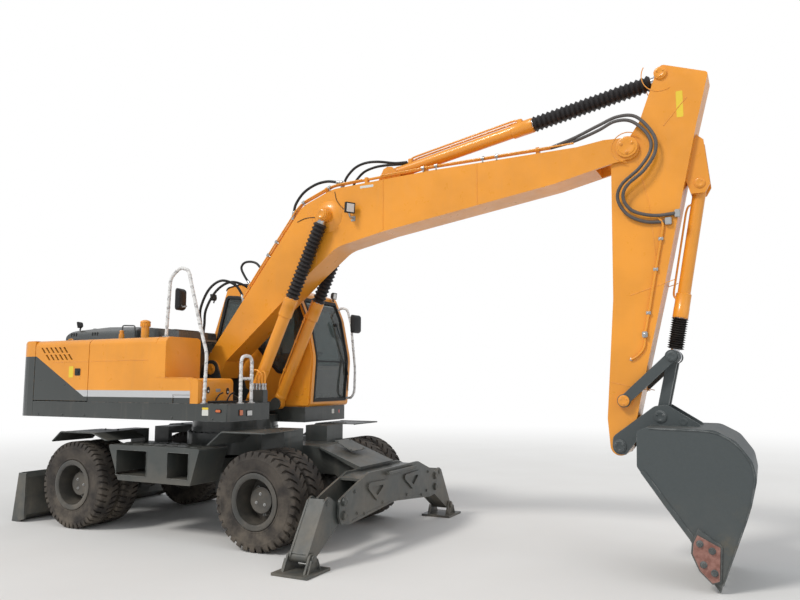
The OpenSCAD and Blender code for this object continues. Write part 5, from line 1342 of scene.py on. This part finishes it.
def make_boom_bosses():
    """The bosses, pin ends and weld seams on the boom's sides."""
    yellow = Form()
    boss = [(-0.004, 0.200), (0.010, 0.185), (0.030, 0.140), (0.043, 0.112), (0.044, 0.09)]
    for side in (-1, 1):
        face = BOOM_Y + side*BOOM_HALF
        yellow.turned(at(RAM_EYE[0], face, RAM_EYE[1]), (0, side, 0), boss, 48, caps=False)
        pin_end(yellow, BOOM_TIP, BOOM_Y + side*0.202, side, 0.086, 0.016, 3)
        pin_end(yellow, BOOM_FOOT, BOOM_Y + side*0.234, side, 0.058, 0.014, 3)
        weld(yellow, arc_points(BOOM_TIP, 0.150, 43.2, 7.44, 31), face)
        weld(yellow, [(2.33, 4.13), (2.33, 3.53)], face)
        weld(yellow, [(3.49, 4.155), (3.49, 3.70)], face)
        weld(yellow, [(1.28, 3.86), (1.38, 3.70), (1.42, 3.50), (1.42, 3.20)], face, 0.004)
    yellow.done("boom_bosses", "boom", "yellow_paint", YELLOW_PAINT)


def make_boom_pipes():
    """Thin pipes along the boom's back, in ring clamps."""
    clamps, pipes = Form(), Form()
    clamp = [(-0.018, 0.012), (-0.018, 0.020), (0.018, 0.020), (0.018, 0.012)]
    runs = [[(0.42, 2.935), (0.78, 3.400), (1.20, 3.930), (1.64, 4.095), (2.05, 4.113)],
            [(2.30, 4.128), (2.926, 4.150), (3.6, 4.158), (4.55, 4.172)]]
    for y, lift in ((-0.292, 0.045), (-0.045, 0.05)):
        for run in runs:
            line = bent([at(x, y, z) for x, z in run], 0.12)
            lifted = []
            for i, p in enumerate(line):
                ahead = (line[min(i + 1, len(line) - 1)] - line[max(i - 1, 0)]).normalized()
                lifted.append(p + upright(ahead)*lift)
            pipes.pipe(lifted, 0.0095, 10)
            for i in range(2, len(lifted) - 1, max(2, len(lifted)//4)):
                p, ahead = lifted[i], (lifted[i + 1] - lifted[i - 1]).normalized()
                clamps.turned(p, ahead, clamp, 14)
                clamps.pipe([p - upright(ahead)*0.045, p + upright(ahead)*0.018], 0.008, 6)
    clamps.done("pipe_clamps", "boom", "rod_chrome", SILVER)
    pipes.done("thin_pipes", "boom", "yellow_paint", YELLOW_PAINT)


def make_boom_lamp():
    """The work lamp with its bracket and wire, the grease line and a blank sticker."""
    plate_y = BOOM_Y - BOOM_HALF
    bracket = Form()
    foot = at(1.93, plate_y, 3.70)
    bracket.block(foot + Vector((-0.03, -0.006, -0.03)), foot + Vector((0.03, 0.001, 0.03)))
    bracket.pipe(bent([foot, foot + Vector((0, -0.07, 0.0)), foot + Vector((0, -0.10, 0.05))], 0.03), 0.011)
    bracket.bolt(foot + Vector((0, -0.006, 0)), (0, -1, 0), 0.008)
    bracket.done("boom_lamp_bracket", "boom", "rod_chrome", SILVER)
    work_lamp("boom_lamp", at(1.93, -0.39, 3.81), Vector((1, -0.55, -0.12)), "boom", 0.062, bracket=False)
    wires = {"boom_lamp_wire": [(1.67, -0.292, 4.06), (1.70, -0.296, 3.95), (1.78, -0.30, 3.85),
                                (1.86, -0.33, 3.80), (1.90, -0.37, 3.80)],
             "grease_line": [(1.13, -0.294, 3.74), (1.25, -0.294, 3.775), (1.36, -0.294, 3.775),
                             (1.46, -0.30, 3.76)]}
    for name, points in wires.items():
        wire = Form().pipe(smooth_route([at(*p) for p in points]), 0.004, 8)
        wire.done(name, "boom", "seat_dark", BLACK_PLASTIC)
    sticker("blank_sticker_boom", side_rectangle(2.02, 2.20, 4.055, 4.085, plate_y), "boom", BLANK_WHITE)


def ram_line(foot, eye, y):
    """A ram's foot in space and the unit vector from it to the eye."""
    base = at(foot[0], y, foot[1])
    return base, (at(eye[0], y, eye[1]) - base).normalized()


def gland(form, foot, eye, y, r, length):
    """The screwed head of a ram: a step, a flange and a ring of bolts, length metres from the foot."""
    base, axis = ram_line(foot, eye, y)
    u, v = side_axes(axis)
    head = base + axis*length
    steps = ((-0.240, 0.0005), (-0.232, 0.011), (-0.10, 0.011), (-0.098, 0.0125), (-0.006, 0.0125),
             (0.0, 0.004))
    form.turned(head, axis, [(along, r + more) for along, more in steps], 40, caps=False)
    for a in (math.pi*i/4 for i in range(8)):
        form.bolt(head + (u*math.cos(a) + v*math.sin(a))*(r + 0.002), axis, 0.008)
    collar = [(-0.01, r), (0.0, r + 0.004), (0.02, r + 0.004), (0.03, r)]
    form.turned(base + axis*(r + 0.02), axis, collar, 40, caps=False)


def band_clamp(form, foot, eye, y, r, length):
    """A steel band round the end of a folded sleeve."""
    base, axis = ram_line(foot, eye, y)
    u, _ = side_axes(axis)
    band = [(-0.009, r), (-0.009, r + 0.003), (0.009, r + 0.003), (0.009, r)]
    form.turned(base + axis*length, axis, band, caps=False)
    form.bolt(base + axis*length + u*(r + 0.003), u, 0.007)


def ram_pipe(form, base, axis, steps, reach=0.04, r=0.011):
    """A feed pipe beside a ram: distances along its axis, square to it and across the machine."""
    form.pipe(bent([base + axis*a + upright(axis)*b + PIN_Y*c for a, b, c in steps], reach), r)


def make_boom_rams():
    """Heads, bands, pin caps and the thin feed pipes of the boom's rams."""
    reach = math.dist(RAM_FOOT, RAM_EYE)
    heads, bands, top_bands, caps = Form(), Form(), Form(), Form()
    route = ((0.20, 0.030), (0.22, 0.055), (0.32, 0.062), (1.20, 0.062), (1.24, 0.060), (1.27, 0.045))
    for side in (-1, 1):
        y = BOOM_Y + side*RAM_SIDE
        gland(heads, RAM_FOOT, RAM_EYE, y, 0.072, reach - 1.078)
        band_clamp(bands, RAM_FOOT, RAM_EYE, y, 0.0665, reach - 1.070)
        pin_end(caps, RAM_EYE, y + side*0.043, side, 0.056, 0.030)
        base, axis = ram_line(RAM_FOOT, RAM_EYE, y)
        ram_pipe(heads, base, axis, [(a, b, -side*b) for a, b in route])
        for a in (0.45, 0.85, 1.12):
            clip = base + axis*a + upright(axis)*0.058 - PIN_Y*side*0.052
            heads.block(clip - Vector((0.020, 0.020, 0.018)), clip + Vector((0.020, 0.020, 0.018)), 0.005)
    heads.done("boom_ram_heads", "boom_rams", "yellow_paint", YELLOW_PAINT)
    bands.done("boom_ram_bands", "boom_rams", "rod_chrome", SILVER)
    ring = [(0.0, 0.050), (0.0, 0.0785), (0.087, 0.0785), (0.087, 0.050)]
    for side in (-1, 1):
        y = BOOM_Y + side*RAM_SIDE
        caps.turned(at(RAM_EYE[0], y - 0.0435, RAM_EYE[1]), PIN_Y, ring, 48, caps=False)
        band_clamp(top_bands, RAM_FOOT, RAM_EYE, y, 0.052, reach - 0.105)
    top_bands.done("boom_ram_top_bands", "boom_ram_rods", "rod_chrome", SILVER)
    caps.done("boom_ram_eyes", "boom_ram_rods", "rod_chrome", YELLOW_PAINT)


def make_arm_and_bucket_rams():
    """Heads, bands and feed pipes of the arm's ram and of the bucket's."""
    reach = math.dist(ARM_RAM_FOOT, ARM_RAM_EYE)
    head, band = Form(), Form()
    gland(head, ARM_RAM_FOOT, ARM_RAM_EYE, BOOM_Y, 0.068, reach - 1.359)
    base, axis = ram_line(ARM_RAM_FOOT, ARM_RAM_EYE, BOOM_Y)
    route = ((0.28, 0.06), (0.30, 0.10), (0.36, 0.105), (1.55, 0.105), (1.60, 0.10), (1.63, 0.062))
    for y in (-0.035, 0.035):
        ram_pipe(head, base, axis, [(a, b, y) for a, b in route])
    for spot in (base + axis*0.28, base + axis*1.63):
        half = Vector((0.03, 0.055, 0.015))
        head.block(spot + upright(axis)*0.05 - half, spot + upright(axis)*0.085 + half, 0.006)
    head.done("arm_ram_head", "arm_ram", "yellow_paint", YELLOW_PAINT)
    band_clamp(band, ARM_RAM_FOOT, ARM_RAM_EYE, BOOM_Y, 0.0665, reach - 1.35)
    band.done("arm_ram_band", "arm_ram", "rod_chrome", SILVER)

    reach = math.dist(BUCKET_RAM_FOOT, GUIDE_TOP)
    head, band = Form(), Form()
    gland(head, BUCKET_RAM_FOOT, GUIDE_TOP, BOOM_Y, 0.060, reach - 0.380)
    base, axis = ram_line(BUCKET_RAM_FOOT, GUIDE_TOP, BOOM_Y)
    route = ((0.20, 0.05), (0.22, 0.08), (0.28, 0.09), (1.06, 0.09), (1.10, 0.085), (1.13, 0.055))
    ram_pipe(head, base, axis, [(a, -b, -0.03) for a, b in route], 0.03, 0.010)
    head.done("bucket_ram_head", "bucket_ram", "yellow_paint", YELLOW_PAINT)
    band_clamp(band, BUCKET_RAM_FOOT, GUIDE_TOP, BOOM_Y, 0.0605, reach - 0.372)
    band.done("bucket_ram_band", "bucket_ram", "rod_chrome", SILVER)


def make_arm_details():
    """Pin ends, weld seams, pipes down the arm's right side, clamps and valves, and a blank sticker."""
    yellow, silver = Form(), Form()
    for side in (-1, 1):
        face = BOOM_Y + side*ARM_HALF
        pin_end(yellow, ARM_RAM_EYE, face + side*0.010, side, 0.050, 0.018, 3)
        weld(yellow, arc_points(ARM_RAM_EYE, 0.18, 150, 7, 22), face)
        weld(yellow, [(5.42, 4.27), (5.64, 4.52)], face)
        for seam in ([(5.16, 3.96), (5.26, 3.50), (5.30, 3.00)], [(5.46, 2.75), (5.05, 2.62)],
                     [(5.20, 1.70), (4.84, 1.78)]):
            weld(yellow, seam, face, 0.004)
        pin_end(yellow, GUIDE_FOOT, BOOM_Y + side*0.232, side, 0.044, 0.014, 3)
        pin_end(yellow, BUCKET_RAM_FOOT, BOOM_Y + side*0.100, side, 0.040, 0.014, 2)
    for r, line in ((0.013, ((5.340, 3.36), (5.385, 3.30), (5.30, 2.87), (5.185, 2.282), (5.1745, 2.25))),
                    (0.010, ((5.1745, 2.20), (5.165, 2.10), (5.09, 2.02), (5.0375, 1.997)))):
        yellow.pipe(bent([at(x, -0.275, z) for x, z in line], 0.05), r)
    yellow.done("arm_bosses", "arm", "yellow_paint", YELLOW_PAINT)
    for x, z in ((5.2965, 2.857), (5.215, 2.44), (5.355, 3.15)):
        silver.block(at(x - 0.022, -0.290, z - 0.016), at(x + 0.022, -0.258, z + 0.016), 0.004)
        silver.bolt(at(x, -0.290, z), (0, -1, 0), 0.007)
    for x0, x1, z0, z1 in ((5.150, 5.200, 2.205, 2.262), (5.49, 5.54, 3.345, 3.42), (5.40, 5.46, 3.28, 3.35)):
        silver.block(at(x0, -0.30, z0), at(x1, -0.258, z1), 0.006)
    silver.turned(at(5.175, -0.30, 2.233), (0, -1, 0), [(0, 0.016), (0.012, 0.016), (0.016, 0.010)], 6)
    for s in (-1, 1):
        knob = [(-0.012, 0.014), (0.006, 0.014), (0.010, 0.008)]
        silver.turned(at(5.0375, BOOM_Y + s*0.17, 1.997), (0, s, 0), knob, 8)
    silver.done("arm_valves", "arm", "rod_chrome", SILVER)
    sticker("blank_sticker_arm", side_rectangle(5.5445, 5.6065, 4.332, 4.595, -0.258), "arm", BLANK_YELLOW)


# Free hoses: points of their middle lines from the slewing axis
FOOT_HOSE = [at(*p) for p in (
    (-0.30, -0.335, 2.34), (-0.31, -0.36, 2.52), (-0.27, -0.42, 2.72), (-0.14, -0.42, 2.96),
    (0.01, -0.36, 3.075), (0.17, -0.28, 3.02), (0.250, -0.242, 2.90), (0.268, -0.242, 2.85))]
LOOP_HOSE = [at(x, -0.242, z) for x, z in (
    (0.37, 3.03), (0.29, 3.13), (0.235, 3.235), (0.275, 3.30), (0.3685, 3.312), (0.47, 3.285), (0.54, 3.222))]
ELBOW_HOSE = [at(*p) for p in (
    (1.065, -0.278, 3.85), (1.10, -0.285, 3.97), (1.22, -0.292, 4.10), (1.39, -0.292, 4.18),
    (1.56, -0.288, 4.200), (1.72, -0.268, 4.172))]
# The two from the boom's end to the arm: the inner one's x, y, z, and how far forward and up the other lies
ARM_HOSES = [(4.30, -.242, 4.218, 0, 0), (4.55, -.255, 4.25, 0, 0.03), (4.80, -.275, 4.318, 0, 0.045),
             (4.9665, -.30, 4.375, 0.03, 0.04), (5.1295, -.305, 4.348, 0.045, 0.035),
             (5.2775, -.32, 4.185, 0.05, 0), (5.3015, -.33, 4.027, 0.045, -0.02),
             (5.1945, -.34, 3.859, 0.045, -0.03), (5.0195, -.34, 3.711, 0.05, -0.02),
             (4.9735, -.32, 3.57, 0.055, 0), (5.0595, -.30, 3.414, 0.05, 0.03),
             (5.22, -.285, 3.33, 0.08, 0.05), (5.40, -.268, 3.315, 0.10, 0.07)]


def make_hoses():
    """The free hoses, with ferrules where they meet the boom's pipes."""
    fittings = Form()
    far = [p + Vector((0.02, 0.284*i/7 - 0.02*(i == 0), 0)) for i, p in enumerate(FOOT_HOSE)]
    hose("boom_foot_hose", FOOT_HOSE, 0.0165, HOSE_RUBBER,
         joint=("upper", "boom", at(-0.30, -0.32, 2.5), at(0.27, -0.25, 3.0)))
    hose("boom_foot_hose_far", far, 0.0165, HOSE_RUBBER,
         joint=("upper", "boom", at(-0.27, -0.16, 2.45), at(0.30, -0.09, 2.95)))
    for line in (FOOT_HOSE, far):
        fitting(fittings, line[-1], line[-2], 0.0165, 0.09)
    hose("boom_loop_hose", LOOP_HOSE, 0.015, HOSE_RUBBER, "boom")
    fitting(fittings, LOOP_HOSE[0], LOOP_HOSE[1], 0.015, 0.09)
    hose("boom_elbow_hose", ELBOW_HOSE, 0.0165, HOSE_RUBBER, "boom")
    fitting(fittings, ELBOW_HOSE[0], ELBOW_HOSE[1], 0.0165, 0.10)
    fitting(fittings, ELBOW_HOSE[-1], ELBOW_HOSE[-2], 0.0165, 0.07)
    for i, y in enumerate((-0.205, 0.005)):
        feed = [at(*p) for p in (
            (1.74, y, 4.155), (1.79, y, 4.25), (1.90, y, 4.345), (2.04, y, 4.385),
            (2.20, y*0.8 - 0.02, 4.385), (2.40, y*0.3 - 0.07, 4.355), (2.56, y*0.25 - 0.075, 4.345))]
        hose(f"arm_ram_hose_{i}", feed, 0.0155, HOSE_RUBBER,
             joint=("boom", "arm_ram", at(2.0, BOOM_Y, 4.3), at(2.5, BOOM_Y, 4.35)))
        fitting(fittings, feed[0], feed[1], 0.0155, 0.08)
    elbow = ("boom", "arm", at(5.0, -0.3, 4.2), at(5.1, -0.3, 3.55))
    hose("arm_hose", [at(x, y, z) for x, y, z, _, _ in ARM_HOSES], 0.0165, GREY_HOSE, joint=elbow)
    outer = [at(x + forward, y - 0.012, z + up) for x, y, z, forward, up in ARM_HOSES]
    hose("arm_hose_outer", outer, 0.0165, GREY_HOSE, joint=elbow)
    fittings.done("boom_fittings", "boom", "rod_chrome", SILVER)


def make_valve_block():
    """Control block outside the near ram's foot: a dark body, two rows of unions and three bent pipes."""
    block, bits, pipes = Form(), Form(), Form()
    low_x, low_y, top_z = 0.700, -0.590, 1.690
    block.block(at(low_x, low_y, 1.541), at(low_x + 0.185, low_y + 0.100, top_z), 0.008)
    union = [(0, 0.019), (0.035, 0.019), (0.038, 0.014), (0.052, 0.014), (0.054, 0.018), (0.075, 0.018)]
    for i in range(4):
        for y in (low_y + 0.030, low_y + 0.072):
            bits.turned(at(low_x + 0.025 + 0.045*i, y, top_z), PIN_Z, union, 12)
    for i, (rise, reach) in enumerate(((0.15, 0.09), (0.12, 0.06), (0.13, 0.05))):
        foot = at(low_x + 0.070 + 0.045*i, low_y + 0.072, top_z + 0.073)
        steps = ((0, 0), (0, rise), (-reach, rise + 0.02), (-reach - 0.03, rise - 0.07))
        pipes.pipe(bent([foot + Vector((x, 0, z)) for x, z in steps], 0.04), 0.010)
    block.done("valve_block", "upper", "dark_metal", DARK_PAINT)
    bits.done("valve_unions", "upper", "rod_chrome", SILVER)
    pipes.done("valve_pipes", "upper", "yellow_paint", YELLOW_PAINT)


# The bucket's side view in millimetres from its pin: mouth, strip inside it, back, and side cutter
MOUTH = [(770, -1010), (622, -735), (430, -470), (235, -190), (275, -175), (470, -450), (662, -712),
         (808, -985)]
BACK = [(872, -1090), (1108, -455), (1160, -205), (1138, -68), (1020, 98), (858, 186), (320, 196)]
CUTTER = [(688, -690), (655, -760), (645, -850), (700, -985), (792, -1078), (848, -1056), (866, -780)]


def in_bucket(x, y, z):
    """A point given in millimetres from the bucket's pin, and across the machine in metres."""
    return at(ARM_FOOT[0] + x/1000, y, ARM_FOOT[1] + z/1000)


def make_bucket_details():
    """Mouth strips, wear line, cutter plates, bolts, pins, and the guide links' ends."""
    strips, cutters, pins = Form(), Form(), Form()
    for side in (-1, 1):
        y, way = BOOM_Y + side*0.550, PIN_Y*side
        strips.plate([in_bucket(a, y, b) for a, b in MOUTH], way*0.010, 0.003)
        line = bent([in_bucket(a, y, b) for a, b in BACK], 0.12, 8)
        strips.pipe([p + way*0.001 for p in line], 0.007, 8)
        cutters.plate([in_bucket(a, y + side*0.018, b) for a, b in CUTTER], way*0.012, 0.003)
        for a, b in ((705, -760), (800, -810), (728, -930), (812, -990)):
            pins.bolt(in_bucket(a, y + side*0.030, b), way, 0.022, 1.35)
        for place, r in ((ARM_FOOT, 0.052), (EAR_PIN, 0.048)):
            pin_end(pins, place, BOOM_Y + side*0.189, side, r, 0.016, 3)
        pin_end(pins, (ARM_FOOT[0] + 0.580, ARM_FOOT[1] + 0.245), BOOM_Y + side*0.1885, side, 0.030, 0.004)
    cap = [(-0.003, 0.014), (0.004, 0.014), (0.006, 0.009)]
    for i in range(5):
        for s in (-1, 1):
            pins.turned(in_bucket(836, BOOM_Y - 0.48 + i*0.24 + s*0.040, -1078), (0, s, 0), cap, 12)
    strips.done("bucket_strips", "bucket", "charcoal_paint", BUCKET_PAINT)
    cutters.done("side_cutters", "bucket", "charcoal_paint", RUST)
    pins.done("bucket_pins", "bucket", "charcoal_paint", BUCKET_PAINT)
    links = Form()
    for side in (-1, 1):
        pin_end(links, GUIDE_TOP, BOOM_Y + side*0.233, side, 0.040, 0.012, 2)
    links.done("guide_pins", "guide_links", "charcoal_paint", BUCKET_PAINT)


# Undercarriage

# Sections of the mudguards, x and z from the axle's middle, with the axle's place
GUARDS = {-1.5: [(-0.400, 0.520), (-0.250, 0.640), (0.320, 0.640), (0.560, 0.560)],
          1.3: [(-0.660, 0.565), (-0.465, 0.715), (0.120, 0.715)]}
# Front face of the outrigger's plates
LEG_FACE = 2.335


def make_undercarriage_details():
    """Bolts and welds of the chassis and the outrigger's plates, the guards' lips, step grips and hatch."""
    edges, bolts = Form(), Form()
    for i in range(36):
        bolts.bolt(at(0, 0, 1.158) + around(10*i)*0.575, PIN_Z, 0.011)
    for x, section in GUARDS.items():
        for side in (-1, 1):
            line = [at(x + a, side*SIDE_Y, AXLE_Z + b - 0.003) for a, b in section]
            edges.pipe(bent(line, 0.02), 0.009, 8)
            for a, b in (section[0], section[-1]):
                edges.pipe([at(x + a, side*y, AXLE_Z + b - 0.003) for y in (0.625, 1.236)], 0.008, 8)
            # Two bolts on each guard's level top
            (a, top), (b, _) = section[1:3]
            for share in (0.3, 0.7):
                bolts.bolt(at(x + a + (b - a)*share, side*0.70, AXLE_Z + top), PIN_Z, 0.010)
    # Grips on the steps, and the seams round the step boxes' fronts
    for side in (-1, 1):
        for x in (-0.78 + 0.18*i for i in range(7)):
            for y in (side*0.86, side*1.10):
                edges.block(at(x, y - 0.04, 1.0395), at(x + 0.10, y + 0.04, 1.046), 0.002)
        for x0, x1 in ((-0.76, -0.27), (0.05, 0.37)):
            ring = ((x0, 0.69), (x1, 0.69), (x1, 0.985), (x0, 0.985), (x0, 0.69))
            edges.pipe(bent([at(x, side*1.2385, z) for x, z in ring], 0.012, 3), 0.005, 6)
    # The bolted hatch on the sloped cover
    hatch, end = at(1.62, 0, 1.0905), at(1.93, 0, 0.938)
    slope = (end - hatch).normalized()
    up = upright(slope)
    lid = [hatch + slope*a + PIN_Y*b for a, b in ((0, -0.17), (0.26, -0.17), (0.26, 0.17), (0, 0.17))]
    edges.plate([p + up*0.001 for p in lid], up*0.008, 0.003)
    for s in (-1, 1):
        for d in (0.025, 0.235):
            bolts.bolt(hatch + slope*d + PIN_Y*0.145*s + up*0.009, up, 0.010)
    pin = [(-0.004, 0.040), (0.008, 0.040), (0.012, 0.034), (0.012, 0.022), (0.008, 0.020), (0.008, 0)]
    for side in (-1, 1):
        for y, z in ((0.907, 0.657), (0.858, 0.432), (0.707, 0.402), (0.30, 0.46)):
            bolts.bolt(at(LEG_FACE, side*y, z), PIN_X, 0.014)
        for z in (0.449, 0.585):
            bolts.turned(at(LEG_FACE + 0.018, side*1.12, z), PIN_X, pin, 28)
        seam = [at(LEG_FACE + 0.001, side*y, z) for y, z in ((0.10, 0.44), (0.60, 0.405), (0.95, 0.375))]
        edges.pipe(denser(seam, 0.03), 0.005, 6)
    edges.done("undercarriage_edges", "undercarriage", "charcoal_paint", CHASSIS_PAINT)
    bolts.done("undercarriage_bolts", "undercarriage", "charcoal_paint", CHASSIS_PAINT)


def make_outrigger_details():
    """Pin caps on the legs, gussets and pin caps on their feet."""
    for side, word, _ in SIDES:
        leg, pad = Form(), Form()
        for y, z, r in ((1.360, 0.604, 0.026), (1.65, 0.140, 0.038)):
            leg.turned(at(2.294, side*y, z), PIN_X, [(0, r), (0.008, r), (0.011, r*0.8), (0.011, 0)], 24)
        leg.done(f"leg_caps_{word}", f"leg_{word}", "charcoal_paint", CHASSIS_PAINT)
        for s in (-1, 1):
            for way in (-1, 1):
                gusset = ((1.65 + way*0.09, 0.026), (1.65 + way*0.11, 0.026), (1.65 + way*0.054, 0.135))
                x = 2.184 + s*0.148
                pad.plate([at(x, side*y, z) for y, z in gusset], (0.012, 0, 0), 0)
            cap = [(0, 0.036), (0.010, 0.036), (0.014, 0.030), (0.014, 0)]
            pad.turned(at(2.19 + s*0.139, side*1.65, 0.140), (s, 0, 0), cap, 24)
        pad.done(f"foot_gussets_{word}", f"foot_{word}", "charcoal_paint", CHASSIS_PAINT)


def make_blade_details():
    """Bolts along the blade's edge, ribs and a bar on its back."""
    blade = Form()
    for y in (-1.16 + 2.32*i/12 for i in range(13)):
        blade.turned(at(-2.548, y, 0.028), (1, 0, 0.55), [(0.0, 0.016), (0.012, 0.015), (0.016, 0.008)], 14)
    rib = ((-2.37, 0.18), (-2.30, 0.20), (-2.30, 0.50), (-2.37, 0.56))
    for side in (-1, 1):
        for y in (0.30, 0.62, 0.90):
            blade.plate([at(x, side*y, z) for x, z in rib], (0, side*0.012, 0))
    blade.pipe([at(-2.40, -0.85, 0.785), at(-2.40, 0.85, 0.785)], 0.012, 8)
    blade.done("blade_details", "blade", "charcoal_paint", CHASSIS_PAINT)


# Stage

def make_stage():
    """A pale floor that fades to white far from the machine."""
    material, net = new_material("pale_floor", 0.9, Specular_IOR_Level=0.15)
    floor = Form().disc((0, 0, -0.011), PIN_Z, 45.0, 0.01, 96)
    floor = floor.done("floor", None, "charcoal_paint", material)
    del floor["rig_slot"]
    net.dress(net.mix(net.noise(net.place(), 0.7, 4.0, 0.5), (0.70, 0.69, 0.67), (0.76, 0.755, 0.74)))
    x, y, _ = net.xyz(net.place())
    reach = net.calc("SQRT", net.calc("ADD", net.times(x, x), net.times(y, y)))
    blend = net.node("MixShader")
    net.feed(blend.inputs[0], net.ramp(reach, 6.5, 22.0))
    for source, socket in ((net.shader, blend.inputs[1]), (net.node("Emission"), blend.inputs[2])):
        net.tree.links.new(source.outputs[0], socket)
    net.tree.links.new(blend.outputs[0], net.tree.nodes["Material Output"].inputs[0])


def make_light():
    scene = bpy.context.scene
    scene.view_settings.view_transform = "Standard"
    world = bpy.data.worlds.new("studio")
    scene.world = world
    world.use_nodes = True
    net = Net(world.node_tree)
    back = world.node_tree.nodes["Background"]
    rays = net.node("LightPath").outputs
    seen = net.calc("MAXIMUM", rays["Is Camera Ray"], rays["Is Transmission Ray"])
    net.feed(back.inputs["Color"], net.mix(seen, (0.93, 0.96, 1.0), (1.0, 1.0, 1.0)))
    net.feed(back.inputs["Strength"], net.ramp(seen, 0.0, 1.0, 0.62, 1.0))
    make_sun("key", 1.75, (46, 0, -28), 14, tint=(1.0, 0.975, 0.94))
    make_sun("fill", 0.45, (58, 0, 62), 60)


make_stage()
make_light()
make_tyres()
make_hubs()
make_platform()
make_cab()
make_window_frames()
make_seat_base()
make_steering()
make_consoles()
make_cushions()
make_cab_trim()
make_rails()
make_louvres()
make_door_trim()
make_stickers()
make_lamps()
make_deck_trim()
make_hood_trim()
make_boom_bosses()
make_boom_pipes()
make_boom_lamp()
make_boom_rams()
make_arm_and_bucket_rams()
make_arm_details()
make_hoses()
make_valve_block()
make_bucket_details()
make_undercarriage_details()
make_outrigger_details()
make_blade_details()
